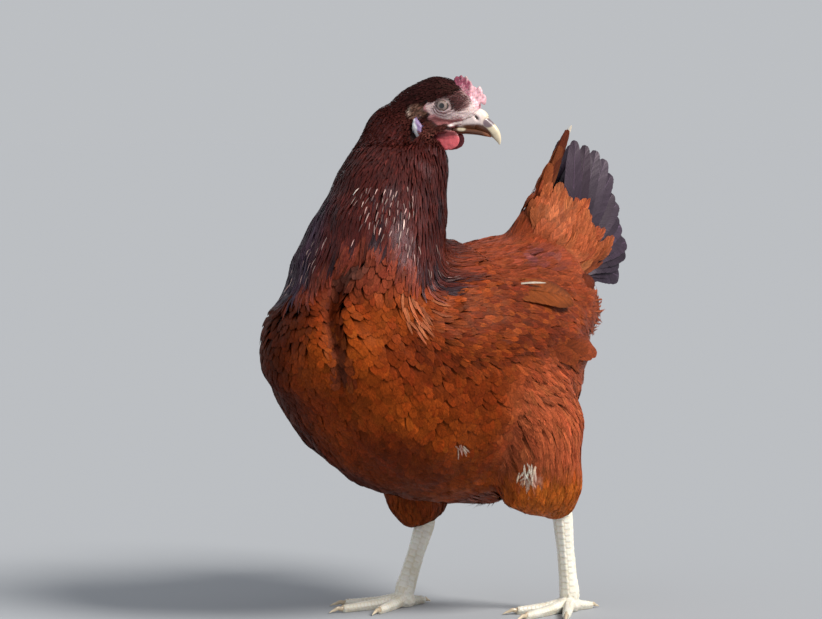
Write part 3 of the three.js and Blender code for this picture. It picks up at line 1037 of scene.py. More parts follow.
def size_between(first, last, axis, start, end):
    """A size in millimetres that changes from first to last, from start to end along one axis."""
    if start > end:
        first, last, start, end = last, first, end, start
    return lambda points: (first + (last - first) * smooth(points[:, axis], start, end)) * MM


print("faces of each part", dict(zip(PARTS, np.bincount(TRACT))))


# %% Grow a tract of feathers
SEEN_AT = 0.3  # the spot whose colour a feather takes, from its root to its tip


def grow(name, chosen, spacing, length, width, kind, seed, axis=BODY_AXIS,
         material=FEATHER, *, edge, ruffle, base=0.6, own=0.16, shaft=1.0, lift=0.0, tip_up=0.0,
         keep=None, tint=None, way=UP, stretch=1.0):
    """Scatter roots on the chosen faces and grow one object of feathers from them.

    keep picks some of the roots and tint changes the colours. The other words are those of
    scatter, spines and feathers.
    """
    draw = np.random.default_rng(seed)
    roots = scatter(chosen, spacing, seed, way, stretch)
    if keep is not None:
        roots = roots[keep(roots)]
    spots, read = on_outline(roots)
    part = read(shares)
    lengths = length(spots) * (1 + 0.12 * draw.normal(size=len(roots)))
    lifts = (lift + draw.uniform(-0.2, 0.2, len(roots))) * MM
    spine = spines(roots, lengths, depth_at(spots, part), seed + 1, ruffle, lifts, tip_up)
    widths = width(spots) * (1 + 0.1 * draw.normal(size=len(roots)))
    seen = spots * (1 - SEEN_AT) + spine["line"][:, -1] * SEEN_AT
    shade = coat_colour(seen, part)
    if tint is not None:
        shade = tint(seen, shade)
    feathers(name, spine, widths, kind, seed + 2, shade, axis, material, edge, base, own, shaft)


def tinted(colour, amount):
    """A tint that mixes one colour into every feather."""
    return lambda points, shade: mix(shade, colour, amount)


print("every feather takes the coat's colour", SEEN_AT, "of the way along it")


# %% [markdown]
# ## Breast, belly and back
# The breast carries round, overlapping feathers, like scales, with a fine darker rim. They
# point down and slightly outwards and get longer towards the belly. Where the cape ends, a
# few narrow pale ones lie over the sides of the breast. Under the belly the feathers are
# loose and fluffy. On the back they're narrower and silky, and lie in streaks.

# %% Grow the breast
AHEAD = FACE_MIDDLES[:, 1] < -0.028
TRUNK = tract("trunk")
BREAST_PARTING = 0.03  # the breast is made as two pieces that meet here
STREAK_PLACE = ((72, -104, 253), (14, 11, 21))
STREAK_PALE = np.array([0.46, 0.17, 0.085])


def in_panel(points):
    """The front of the lower neck, which wears small breast feathers in place of the cape."""
    return np.abs(round_the_neck(points)) < np.interp(points[:, 2] / MM, *PANEL) + 4


def below_the_cape(points):
    """Where longer pale feathers lie over the sides of the breast."""
    return gap_from(both_sides(points), *STREAK_PLACE) < 1


NECK_PANEL = tract("neck") & in_panel(FACE_MIDDLES)
BREAST = (TRUNK & AHEAD) | NECK_PANEL
LEFT_OF_PARTING = FACE_MIDDLES[:, 0] > BREAST_PARTING
for n, (name, half) in enumerate((("breast_left", LEFT_OF_PARTING), ("breast_right", ~LEFT_OF_PARTING))):
    grow(name, BREAST & half, size(3.7), size_between(16, 24, 2, 0.26, 0.12),
         size_between(6.4, 9.0, 2, 0.28, 0.20), "contour", 100 + 5 * n,
         edge=0.0, base=0.3, ruffle=0.12, own=0.13)
grow("breast_streaks", TRUNK | tract("neck"), size(3.4), size(24), size(2.9), "hackle", 112, material=SILK,
     edge=0.2, base=0.1, own=0.3, lift=0.8, ruffle=0.10, shaft=1.5, keep=below_the_cape,
     tint=tinted(STREAK_PALE, 0.32))

# %% Grow the belly, the back and the rump
HIGH = FACE_MIDDLES[:, 2] > 0.215
WISPS = TRUNK & (FACE_MIDDLES[:, 1] > 0.088) & (FACE_MIDDLES[:, 2] > 0.19) & (FACE_MIDDLES[:, 2] < 0.255)
WISP_PALE = RUSSET * [1.6, 2.2, 2.8]

grow("belly_feathers", TRUNK & ~AHEAD & ~HIGH, size(3.0), size(30), size(6.5), "fluff", 120, material=SILK,
     edge=0.2, base=0.4, ruffle=0.16, lift=0.4, way=BACK, stretch=1.7)
grow("back_feathers", TRUNK & ~AHEAD & HIGH, size(2.6), size(29), size(6.6), "streak", 140, material=SILK,
     edge=0.15, base=0.15, own=0.14, ruffle=0.07, way=BACK, stretch=1.8)
grow("rump_wisps", WISPS, size(3.4), size(25), size(2.2), "fluff", 150, material=SILK, edge=0.2, base=0.1,
     own=0.25, ruffle=0.25, lift=0.8, tip_up=0.12, tint=tinted(WISP_PALE, 0.3))

# %% [markdown]
# ## Wings
# A folded wing shows rows of coverts and, at its lower back edge, the ends of the long
# flight feathers, stacked like a closed fan. The small coverts are grown like the rest. The
# flight feathers start one by one from a line along the wing, each lying over the one below,
# and a few large coverts lie loose over the upper edge. A stiff feather follows the body
# less closely than a soft one, so the lines of these are evened out.

# %% Place large feathers one by one
FLIGHT_SUNK = 9.0  # how far below the outline the roots start, in millimetres


def one_by_one(name, roots, lengths, widths, lifts, shade, seed, edge, base, own, shaft):
    """A few large feathers, each with its own place, size and colour. Sizes in millimetres."""
    depth = np.full(len(roots), FLIGHT_SUNK * MM)
    spine = spines(roots * MM, lengths * MM, depth, seed, 0.03, lifts * MM, 0.05)
    for _ in range(4):
        for values in spine.values():
            values[:, 1:-1] = (values[:, :-2] + 2 * values[:, 1:-1] + values[:, 2:]) / 4
            values[:, 0] = 2 * values[:, 1] - values[:, 2]
    feathers(name, spine, widths * MM, "flight", seed + 1, shade, BODY_AXIS, SILK,
             edge, base, own, shaft)


print("roots of large feathers are sunk", FLIGHT_SUNK, "mm")


# %% Grow the wings
FLIGHTS = 6
FLIGHT_SHADE = np.tile(RUSSET * [0.9, 0.9, 0.7], (FLIGHTS, 1))
LARGE_COVERTS = np.array([  # root to the side, back and up, length, width and lift
    (84, -14, 267, 64, 33, 3.4),
    (76, -6, 277, 52, 17, 1.4),
    (60, 70, 262, 36, 18, 1.4),
    # the last is a pale sliver along the top edge of the first, a painted highlight where light catches it
    (81, -7, 270, 27, 2.4, 4.6),
])
COVERT_SHADES = np.array([ORANGE * [0.72, 0.78, 1.3], RUSSET * 0.85, CHESTNUT * [0.7, 0.8, 0.9], DOWN * 0.6])

for n, (side, sign) in enumerate(SIDES):
    grow("wing_feathers_" + side, tract("wing_" + side), size_between(2.3, 2.9, 1, -0.06, 0.05),
         size_between(18, 29, 1, -0.06, 0.05), size_between(5.0, 7.6, 1, -0.06, 0.05), "streak", 160 + 20 * n,
         material=SILK, edge=0.2, base=0.2, own=0.17, ruffle=0.10, way=BACK, stretch=1.7)

    t = np.linspace(0, 1, FLIGHTS)
    roots = np.stack([sign * (94 - 12 * t), 6 + 34 * t, 218 + 2 * t], 1)
    above = 1.5 + 0.4 * np.arange(FLIGHTS)
    one_by_one("wing_flights_" + side, roots, 40 + 12 * t, np.full(FLIGHTS, 15.0), above,
               FLIGHT_SHADE, 170 + 20 * n, 0.3, 0.3, 0.10, 0.7)
    one_by_one("wing_coverts_" + side, LARGE_COVERTS[:, :3] * [sign, 1, 1], *LARGE_COVERTS[:, 3:].T,
               COVERT_SHADES, 180 + 20 * n, -0.55, 0.15, 0.05, 1.1)

# %% [markdown]
# ## Thighs
# The thigh wears long silky feathers whose barbs don't hook together, so they hang in fine
# strands. They shorten quickly towards the hock, where the scaly shank begins. White fluff
# shows in a few spots where the coat opens low on the legs.

# %% Grow the thighs
for n, (side, sign) in enumerate(SIDES):
    grow("thigh_feathers_" + side, tract("thigh_" + side), size_between(1.6, 2.0, 2, 0.08, 0.15),
         size_between(12, 36, 2, 0.08, 0.16), size_between(3.2, 4.6, 2, 0.08, 0.16), "fluff", 200 + 20 * n,
         (middle("thigh_" + side), -UP), material=SILK, edge=0.3, ruffle=0.08, base=0.3, own=0.15,
         way=unit([0, 0.45, -0.85]), stretch=2.2)


# %% Grow the white fluff
def in_the_down(points):
    """The downy spots, with a ragged edge."""
    gaps = [gap_from(points, centre, size) for centre, size in DOWNY]
    return np.min(gaps, 0) < np.random.default_rng(236).uniform(-0.2, 1.1, len(points))


def frosted(points, shade):
    """Some strands of the fluff are almost white and some keep the coat's own colour."""
    return mix(shade, DOWN, np.random.default_rng(237).uniform(0.2, 0.8, len(points)))


LOW = (FACE_MIDDLES[:, 2] < 0.17) & tract("trunk", "thigh_left", "thigh_right")
grow("down", LOW, size(1.0), size(12), size(1.5), "fluff", 235, material=SILK, edge=0.2, base=0.1,
     own=0.3, lift=1.3, ruffle=0.3, keep=in_the_down, tint=frosted)

# %% [markdown]
# ## Neck and head
# The cape of the neck is made of narrow pointed feathers with a bright shaft. They're short
# behind the head and long over the shoulders, and they lie on top of the breast and back.
# At the cape's edge the sun picks out single shafts, so a few very narrow pale ones are laid
# on top as painted glints. On the head itself feathers shrink to scales of a few millimetres,
# and on the brow to bristles that let the skin show between them.

# %% Grow the cape
CAPE = tract("neck") & ~NECK_PANEL
UPPER = FACE_MIDDLES[:, 2] > 0.315
NECK_AXIS = (NAPE, NECK_WAY)
GLINT = np.array([0.30, 0.19, 0.17])


def off_the_lobes(points):
    """The cape leaves the ear lobes and the bare face free."""
    p = on_head_axes(points)
    return (seen_from_side(p, -17.5, -16.5, 5.5, 13) > 1) & (bareness(p) < 0.3)


for n, (name, half) in enumerate((("hackle_upper", UPPER), ("hackle_lower", ~UPPER))):
    grow(name, CAPE & half, size_between(1.25, 2.0, 2, 0.37, 0.27), size_between(15, 36, 2, 0.39, 0.29),
         size_between(2.1, 4.2, 2, 0.37, 0.27), "hackle", 240 + 5 * n, NECK_AXIS,
         DARK_FEATHER, edge=0.25, base=0.2, lift=0.5, shaft=1.7, ruffle=0.07, own=0.24, way=NECK_WAY,
         stretch=2.6, keep=off_the_lobes)


def in_the_cape(points):
    """Keep the pale feathers that paint the glints to the cape's edge."""
    z = points[:, 2]
    past_panel = np.abs(round_the_neck(points)) - np.interp(z / MM, *PANEL)
    patch = ripple(points, 20 * MM, 23) > -0.2
    return patch & (past_panel > -4) & (past_panel < 40) & (z > 0.262) & (z < 0.345)


grow("hackle_glints", CAPE, size(3.2), size(13), size(1.0), "hackle", 255, NECK_AXIS,
     DARK_FEATHER, edge=0.3, base=0.2, lift=1.2, ruffle=0.10, own=0.7, keep=in_the_cape, way=NECK_WAY,
     stretch=2.5, tint=tinted(GLINT, 1.0))

# %% Grow the feathers and bristles of the head
EAR_GOLD = np.array([0.27, 0.135, 0.095])
EAR_PALE = np.array([0.55, 0.40, 0.33])
CHEEK = np.array([0.105, 0.030, 0.024])
BRISTLE = np.array([0.085, 0.030, 0.030])
HEAD_AXIS = (HEAD_START, HEAD_FRONT)


def under_feathers(points):
    """The part of the head that isn't bare."""
    return bareness(on_head_axes(points)) < 0.3


def on_the_brow(points):
    """The bare skin in front of the eye and below the comb."""
    p = on_head_axes(points)
    return (seen_from_side(p, 15.0, 2.5, 9.5, 9.0) < 1) & (bareness(p) > 0.3) & (above_comb_foot(p) < 0)


def ear_tuft(points, shade):
    """Golden-brown bristles over the ear, and a ruddy cheek."""
    p = on_head_axes(points)
    gap = seen_from_side(p, -16.5, -6.6, 7.0, 5.4)
    gold = mix(EAR_GOLD, EAR_PALE, smooth(-p[:, 0], 20.0, 23.0))
    cheek = smooth(1.3 - seen_from_side(p, -1, -21, 14, 8), 0, 0.5) * smooth(np.abs(p[:, 1]), 5, 8)
    return mix(mix(shade, CHEEK, cheek * 0.85), gold, smooth(1.25 - gap, 0, 0.4) * 0.95)


HEAD_AND_NAPE = tract("head") | (tract("neck") & (FACE_MIDDLES[:, 2] > 0.372))
grow("head_feathers", HEAD_AND_NAPE, size(1.15), size(4.6), size(1.7), "tiny", 260, HEAD_AXIS,
     edge=0.3, lift=0.7, ruffle=0.10, keep=under_feathers, tint=ear_tuft)
grow("face_bristles", tract("head"), size(0.8), size(2.6), size(0.5), "tiny", 270, HEAD_AXIS,
     edge=0.3, lift=0.35, ruffle=0.2, own=0.5, keep=on_the_brow, tint=tinted(BRISTLE, 1.0))

# %% [markdown]
# ## Tail
# A hen's tail is a tent of stiff feathers on each side of a ridge, opened like a fan, each
# lying over the one below it. A living hen has seven or eight pairs. Here fifteen narrower
# pairs close the fan. They're laid along lines between the rump and the rim of the fan. A
# few russet ones edge the front, and soft rust-coloured coverts hide the roots.

# %% Lines for the tail feathers
TAIL_ROOT = np.array([0, 116, 270]) * MM
TAIL_PAIRS = 15
TAIL_SPAN = (88.5, -8.0)  # degrees over the level, from the first pair to the last
tail_points = solid("tail")[0]


def tail_reach(way):
    """How far the frame's tail reaches from its root in one direction."""
    out = (tail_points - TAIL_ROOT) * [0, 1, 1]
    along = out @ way
    return along[along > 0.985 * np.linalg.norm(out, axis=1)].max()


def tail_line(sign, order):
    """One tail feather from the rump out to its place on the rim of the fan."""
    t = order / (TAIL_PAIRS - 1)
    angle = math.radians(TAIL_SPAN[0] + t * (TAIL_SPAN[1] - TAIL_SPAN[0]))
    fan = np.array([0, math.cos(angle), math.sin(angle)])
    root = TAIL_ROOT + np.array([sign * 9, -6, 0]) * MM
    short = 2 + 3 * (order % 2) + 5 * smooth(angle, 0.9, 1.2) + 3 * smooth(angle, 1.25, 1.5)
    tip = TAIL_ROOT + fan * (tail_reach(fan) - short * MM) + np.array([sign * (1.5 + 9 * t), 0, 0]) * MM
    bend = np.array([sign * 4, -5 * math.sin(angle), 5 * math.cos(angle)]) * MM
    steps = np.linspace(0, 1, STEPS + 1)[:, None]
    line = root * (1 - steps) + tip * steps + bend * np.sin(steps * math.pi)
    way = unit(np.gradient(line, axis=0))
    out = np.array([sign * 1.0, -0.15, 0.30])
    up = unit(out - way * (way @ out)[:, None])
    line = line + up * 0.5 * (TAIL_PAIRS - order) * MM
    return line, np.cross(way, up), up


def front_line(sign, foot, tip):
    """A narrow feather along the front edge of the tail."""
    steps = np.linspace(0, 1, STEPS + 1)[:, None]
    line = (np.array([sign * 1.5, *foot]) * (1 - steps) + np.array([sign * 0.8, *tip]) * steps) * MM
    way = unit(np.gradient(line, axis=0))
    out = np.array([sign * 0.75, -0.65, 0.1])
    up = unit(out - way * (way @ out)[:, None])
    return line + up * 0.9 * MM, np.cross(way, up), up


def stacked(lines):
    """One set of bent lines, as spines gives it."""
    return {key: np.array([line[n] for line in lines]) for n, key in enumerate(("line", "side", "up"))}


print("the ridge of the tail is", np.round(tail_reach(TAIL_WAY) / MM), "mm long")

# %% The tail feathers
TAIL_AXIS = (np.array([0, 0.05, 0.23]), TAIL_WAY)
FRONT_FEATHERS = [  # foot and tip, each back and up, then width and colour
    ((91, 335), (117, 384), 9, RUSSET * [0.45, 0.5, 0.7]),
    ((84, 318), (109, 371), 12, RUSSET * [0.7, 0.9, 1.0]),
    ((76, 306), (98, 357), 13, RUSSET * [1.0, 1.3, 1.4]),
    ((71.5, 298), (92, 343), 13, RUSSET * [1.2, 1.5, 1.7]),
    ((66.5, 291), (85, 329), 14, RUSSET * [1.2, 1.6, 1.8]),
    # the last is a pale sliver at the top of the front edge, a painted highlight where the light catches it
    ((112, 373), (121, 387.5), 2.6, DOWN * 0.75),
]

tail_spine = stacked([tail_line(sign, order) for _, sign in SIDES for order in range(TAIL_PAIRS)])
tail_width = np.tile(np.linspace(20, 27, TAIL_PAIRS), 2) * MM
# black tail feathers with a purple painted in as their sheen
tail_shade = np.tile(mix(SOOT * [0.8, 1.15, 1.3], PURPLE_SHEEN * 0.9, 0.40), (2 * TAIL_PAIRS, 1))
feathers("tail_feathers", tail_spine, tail_width, "flight", 310, tail_shade, TAIL_AXIS,
         TAIL_FEATHER, 0.2, 0.1, 0.22, 5.0, ["tail"])

front_spine = stacked([front_line(sign, foot, tip)
                       for _, sign in SIDES
                       for foot, tip, _, _ in FRONT_FEATHERS])
front_width = np.tile([width for _, _, width, _ in FRONT_FEATHERS], 2) * MM
front_shade = np.tile([shade for _, _, _, shade in FRONT_FEATHERS], (2, 1))
feathers("tail_front", front_spine, front_width, "flight", 320, front_shade, TAIL_AXIS,
         SILK, 0.1, 0.1, 0.06, 2.0)

# %% Grow the tail coverts
COVERT_REACH = ([-20, 5, 16, 35, 46, 53, 60, 70, 80, 96, 100, 104, 120, 180],  # degrees over the level
                [26, 32, 44, 58, 48, 55, 60, 52, 44, 44, 58, 76, 98, 106])  # millimetres
COVERT_ROOTS = 39 * MM  # how far inside that edge the last roots lie
COVERT_RUST = RUSSET * [1.35, 1.75, 1.9]


def beyond_coverts(points):
    """How far a point of the tail lies beyond the edge of the coverts, in metres."""
    out = points - TAIL_ROOT
    angle = np.degrees(np.arctan2(out[:, 2], out[:, 1]))
    return np.hypot(out[:, 1], out[:, 2]) - np.interp(angle, *COVERT_REACH) * MM


COVERED = (FACE_SHARES[:, PART["tail"]] > 0.25) & (beyond_coverts(FACE_MIDDLES) < -COVERT_ROOTS)
grow("tail_coverts", COVERED, size(3.4), size(31), size(9.0), "streak", 330, (TAIL_ROOT, TAIL_WAY),
     material=SILK, edge=0.2, lift=1.6, ruffle=0.14, own=0.15, base=0.2, tint=tinted(COVERT_RUST, 0.7),
     way=TAIL_WAY, stretch=1.6)


# %% [markdown]
# ## Bodies along a line
# Claws, the beak, the wattles and the comb's points are all round bodies along a line, so
# one function makes them: rings of points square to the line, closed at both ends.

# %% Tubes, balls and smooth lines
def tube(path, wide, high, side, sides, square=1.0):
    """A closed body along a path. side is the direction of its half widths, wide.

    square under 1 makes the section boxier than an ellipse.
    """
    path = np.asarray(path, float)
    way = unit(np.gradient(path, axis=0))
    side = np.broadcast_to(np.asarray(side, float), path.shape)
    side = unit(side - way * (way * side).sum(1)[:, None])
    up = np.cross(way, side)
    turn = np.arange(sides) / sides * 2 * math.pi
    cos, sin = (np.sign(v) * np.abs(v) ** square for v in (np.cos(turn), np.sin(turn)))
    wide, high = (np.broadcast_to(v, len(path))[:, None, None] for v in (wide, high))
    rings = path[:, None] + side[:, None] * cos[:, None] * wide + up[:, None] * sin[:, None] * high
    points = np.concatenate([rings.reshape(-1, 3), path[:1], path[-1:]])
    first, last, end = len(points) - 2, len(points) - 1, (len(path) - 1) * sides
    faces = []
    for n in range(sides):
        m = (n + 1) % sides
        faces += [[a + n, a + m, a + sides + m, a + sides + n] for a in range(0, end, sides)]
        faces += [[first, m, n, n], [last, end + n, end + m, end + m]]
    return points, np.array(faces, np.int32)


def smooth_line(points, count):
    """count rows along a spline through the given rows."""
    points = np.asarray(points, float)
    ends = np.vstack([2 * points[0] - points[1], points, 2 * points[-1] - points[-2]])
    t = np.linspace(0, len(points) - 1 - 1e-9, count)
    n = t.astype(int)
    f = (t - n)[:, None]
    a, b, c, d = (ends[n + i] for i in range(4))
    return 0.5 * (2 * b + (c - a) * f + (2 * a - 5 * b + 4 * c - d) * f**2 + (3 * b - a - 3 * c + d) * f**3)


def ball(centre, radii, turn):
    """A closed ball with its own half size along each axis, turned and moved to its centre."""
    path = np.linspace(-1, 1, 20)
    bulge = np.sqrt(np.maximum(1 - path**2, 0.0004))
    line = np.stack([path * 0, path * 0, path * radii[2]], 1)
    points, faces = tube(line, bulge * radii[0], bulge * radii[1], [1, 0, 0], 32)
    return points @ np.asarray(turn) + centre, faces


print("a ball has", len(ball([0, 0, 0], [1, 1, 1], np.eye(3))[0]), "points")


# %% [markdown]
# ## The head's flesh
# The skull, comb, wattles and ear lobes are one living skin, so they're built as loose
# solids first and fused by remeshing on cubes of just over half a millimetre. The comb is a
# low ridge with seven small points. Wattles and lobes are flattened balls.

# %% Comb, wattles and ear lobes as solids
COMB_RIDGE = [(9.0, 14.8), (12, 14.8), (17, 11.8), (21.5, 7.8), (25.5, 3.2), (29, -1.8)]
COMB_POINTS = [  # foot and tip, along and up, and half the length of the foot
    ((10.4, 15), (10.7, 20.4), 2.6),
    ((13.8, 15), (14.2, 21.0), 2.6),
    ((17.4, 13), (18.2, 20.4), 2.6),
    ((20.4, 10), (21.6, 16.6), 2.4),
    ((24.4, 6.5), (25.6, 11.4), 2.4),
    ((27.6, 4.5), (29.4, 12.6), 3.2),
    ((29.4, 0.5), (33.2, 5.6), 4.6),
]


def in_mid_plane(pairs):
    """Places in the head's middle plane, from rows of along and up."""
    pairs = np.asarray(pairs, float)
    return np.stack([pairs[:, 0], pairs[:, 0] * 0, pairs[:, 1]], 1)


def comb_solids():
    """The comb's ridge and its points, which lean a little to the left and right in turn."""
    ridge = smooth_line(in_mid_plane(COMB_RIDGE), 20)
    tall = np.interp(np.arange(20), [0, 3, 14, 19], [3.0, 4.8, 5.2, 4.4])
    parts = [tube(ridge, 3.3, tall, [0, 1, 0], 16)]
    t = np.linspace(0, 1, 9)
    for n, (foot, tip, half) in enumerate(COMB_POINTS):
        line = smooth_line(in_mid_plane([foot, (np.array(foot) + tip) / 2 + [0.3, 0], tip]), 9)
        line[:, 1] += (-1) ** n * 0.5 * t
        parts.append(tube(line, 2.7 - 1.6 * t, half * (1 - t**1.8) + 0.6, [0, 1, 0], 16))
    return parts


def hanging_solids():
    """Both wattles, leaning outwards, and both ear lobes, slanting back."""
    slant = unit([[0.94, 0, 0.34], [0, 1, 0], [-0.34, 0, 0.94]])
    parts = []
    for _, sign in SIDES:
        lean = unit([[1, 0, 0], [0, 1, sign * 0.12], [0, -sign * 0.12, 1]])
        parts.append(ball([4.3, sign * 7.9, -29.8], [11.8, 2.0, 8.8], lean))
        parts.append(ball([-17.0, sign * 15.3, -20.5], [3.9, 2.5, 8.9], slant))
    return parts


HEAD_CELL = 0.6 * MM
flesh = [(on_head(points), faces) for points, faces in comb_solids() + hanging_solids()]
head_points, head_faces = remeshed(*joined([solid("head")] + flesh), HEAD_CELL)
head_points = relax(head_points, head_faces, 5)
print("head skin", len(head_points), "points")


# %% [markdown]
# ## Folds and colours of the head
# The skin of the face is thin and wrinkled, the comb is pebbled like a raspberry, and the
# wattles are smooth and finely grained. The same masks that colour each place also shape
# it, by small waves pushed out along the surface.

# %% Masks of the comb, wattles and lobes
SHADED_COMB_RED = np.array([0.25, 0.045, 0.085])
LIT_COMB_PINK = np.array([0.88, 0.47, 0.52])
FACE_PINK = np.array([0.62, 0.27, 0.27])
FACE_DARK = np.array([0.26, 0.080, 0.085])
# pale skin, also painted as light on the beak's base, the lip of the mouth and the comb's edge
PALE_SKIN_AND_HIGHLIGHT = np.array([0.95, 0.76, 0.72])
CORAL = np.array([0.74, 0.125, 0.145])
LOBE_WHITE = np.array([0.98, 0.96, 1.0])
LOBE_BLUE = np.array([0.26, 0.17, 0.34])
BROW = np.array([0.15, 0.050, 0.048])
GAPE = np.array([(6.5, -19), (12, -17), (17, -16), (22, -15.8), (30, -16.8)])  # the line of the mouth


def near(points, along, up, half, tall, soft=0.35):
    """1 inside an ellipse seen from the side of the head, fading out beyond its edge."""
    return smooth(1 + soft - seen_from_side(points, along, up, half, tall), 0, soft)


def gape_gap(p, lower=0.0):
    """Distance in millimetres from the line of the mouth, or from one lower down."""
    return on_line(p * [1, 0, 1], in_mid_plane(GAPE - [0, lower]))[0]


def head_masks(p):
    """Where the comb, the wattles and the lobes are, from head millimetres."""
    comb = smooth(7.5 - np.abs(p[:, 1]), 0, 1.5) * smooth(p[:, 0], 7.5, 9.0)
    comb = comb * smooth(above_comb_foot(p), -0.6, 0.6)
    wattle = smooth(-p[:, 2], 22.6, 24.0) * smooth(p[:, 0], -7.0, -5.5)
    wattle = wattle * smooth(3.2 - np.abs(np.abs(p[:, 1]) - 8.4), 0, 0.8)
    lobe = near(p, -17.0, -20.5, 4.6, 9.2, 0.2) * smooth(np.abs(p[:, 1]), 12.0, 13.5)
    return comb, wattle, lobe


print("the comb covers", np.sum(head_masks(on_head_axes(head_points))[0] > 0.5), "points")


# %% Colours of the head
def face_colour(p):
    """Pink skin with darker flecks, dark wrinkle lines as painted shade in the folds, a painted shadow low on
    the cheek, and paler towards the beak and under the eye, partly as painted light on the beak's base and
    the lip of the mouth.
    """
    face = mix(FACE_PINK, FACE_DARK, smooth(0.6 * ripple(p, 3.2, 41) + 0.35 * ripple(p, 1.3, 42), 0.1, 1.4))
    # painted shadow low on the cheek
    face = mix(face, FACE_DARK * [1.1, 0.9, 0.8], near(p, 2, -19.0, 14, 5.5, 0.6) * 0.85)
    # painted light between the comb and the nostril
    face = mix(face, PALE_SKIN_AND_HIGHLIGHT, near(p, 25, -7, 8.0, 8.5) * 0.9)
    face = mix(face, PALE_SKIN_AND_HIGHLIGHT, near(p, 9, -9.5, 8.5, 3.6) * 0.7)
    face = mix(face, PALE_SKIN_AND_HIGHLIGHT, near(p, -5.5, -4.0, 4.0, 5.0) * 0.6)
    face = mix(face, BROW, near(p, 15.5, 2.8, 8.5, 8.6, 0.3) * 0.9)
    # painted shade in the folds of the wrinkles
    wrinkle = np.abs(ripple(p * [0.8, 1, 2.2], 2.6, 45))
    face = mix(face, FACE_DARK, smooth(-wrinkle, -0.22, -0.05) * 0.55)
    # painted highlight along the lip of the mouth, partly pale skin
    return mix(face, PALE_SKIN_AND_HIGHLIGHT * 1.05, smooth(1.5 - gape_gap(p), 0, 0.8) * 0.9)


def comb_colour(p):
    """Dark red behind, partly painted shade, and pink in front as painted light, pebbled, with a painted
    highlight along its front edge.
    """
    # painted shade behind and painted light in front
    red = mix(SHADED_COMB_RED, LIT_COMB_PINK, smooth(p[:, 0] + 0.6 * ripple(p, 4, 46), 21.0, 24.5))
    # painted highlight along the comb's front edge
    fringe = smooth(p[:, 2] + 0.75 * p[:, 0], 31.0, 34) * 0.6
    return mix(red, PALE_SKIN_AND_HIGHLIGHT, fringe) * (1 + 0.30 * ripple(p, 1.5, 43))[:, None]


def head_colour(world):
    """Colour of the head's skin: coat, face, comb, wattles and lobes, each within its mask."""
    p = on_head_axes(world)
    comb, wattle, lobe = head_masks(p)
    spots, read = on_outline(world)
    under_coat = ear_tuft(spots, coat_colour(spots, read(shares))) * 0.7
    colour = mix(mix(under_coat, face_colour(p), bareness(p)), comb_colour(p), comb)
    # painted shade: the wattles darken towards their tops, and the far left wattle darkens all over
    top = smooth(p[:, 2] + 0.12 * np.abs(p[:, 0] - 12), -28.0, -25.0)
    deep = np.maximum(top, smooth(p[:, 1], -2, 2) * 0.85)
    colour = mix(colour, mix(CORAL, CORAL * [0.22, 0.15, 0.16], deep), wattle)
    inside = p[:, 0] + 17.0 + 0.33 * (p[:, 2] + 20.5)
    white = mix(LOBE_WHITE, LOBE_BLUE, smooth(0.4 * ripple(p, 2.4, 44) + inside, -0.6, 0.9))
    return mix(colour, white, lobe)


print("colour of the near cheek", np.round(face_colour(EYE_PLACE[None] - [0, 0, 8])[0], 2))


# %% Shape and colour the head skin
def shape_head(points, faces):
    """Pebbles on the comb, wrinkles on the face, and a lip over the line of the mouth."""
    p = on_head_axes(points)
    bare = bareness(p)
    comb, wattle, lobe = head_masks(p)
    plain = bare * (1 - comb) * (1 - wattle) * (1 - lobe)
    push = -0.6 * (1 - bare) * (1 - comb)
    push = push - 3.0 * smooth(-p[:, 0], 15, 24) * (1 - bare) * (1 - lobe)
    push = push + comb * (0.26 * np.abs(ripple(p, 1.7, 51)) - 0.1)
    push = push + wattle * 0.10 * ripple(p, 2.2, 52) + lobe * 0.16 * ripple(p, 2.0, 53)
    push = push + plain * 0.34 * (np.abs(ripple(p * [0.7, 1, 1.6], 2.4, 54)) - 0.5)
    push = push + plain * 0.9 * smooth(1.6 - gape_gap(p), 0, 1.2)
    push = push - plain * 0.9 * smooth(1.3 - gape_gap(p, 3.0), 0, 1.2)
    return points + normals_of(points, faces) * push[:, None] * MM


head_points = shape_head(head_points, head_faces)
head_colours = head_colour(head_points)
print("mean colour of the head", np.round(head_colours.mean(0), 3))


# %% [markdown]
# ## Eyelids
# The lids are rings of thin wrinkled skin that slide over the ball of the eye. A round net
# of points, centred on the eye, follows the eyeball near the opening and sinks into the
# face further out, with a wave for every fold. The lower folds are the larger and paler.
# Each fold is painted lighter on its crest and darker in its groove, as painted light and shade.

# %% A round net that follows a surface
EYE_RADIUS = 6.8
LID_ROOM = 0.30  # between the eyeball and the lid
LID_REACH = 11.0
FOLD = 2.1  # from one wrinkle to the next
# lid colours in the grooves and on the folds; the difference between them is painted shade
UPPER_LID = (np.array([0.060, 0.034, 0.034]), np.array([0.24, 0.150, 0.145]))  # between folds, on folds
LOWER_LID = (np.array([0.24, 0.085, 0.090]), np.array([0.88, 0.68, 0.66]))


def net_faces(rings, sides, sign):
    """Faces between rings of points, turned to face out of the left or right cheek."""
    a = (np.arange(rings - 1)[:, None] * sides + np.arange(sides)).ravel()
    b = (np.arange(rings - 1)[:, None] * sides + (np.arange(sides) + 1) % sides).ravel()
    faces = np.stack([a, b, b + sides, a + sides], 1)
    return (faces if sign < 0 else faces[:, ::-1]).astype(np.int32)


def cheek_depth(u, v, sign):
    """How far out the cheek lies at places round the eye."""
    tree = tree_of(on_head_axes(head_points), head_faces)
    depth = np.full(u.shape, EYE_PLACE[1])
    for place in np.ndindex(u.shape):
        start = [EYE_PLACE[0] + u[place], sign * 40, EYE_PLACE[2] + v[place]]
        hit = tree.ray_cast(start, [0, -sign, 0])[0]
        if hit:
            depth[place] = abs(hit[1])
    return depth


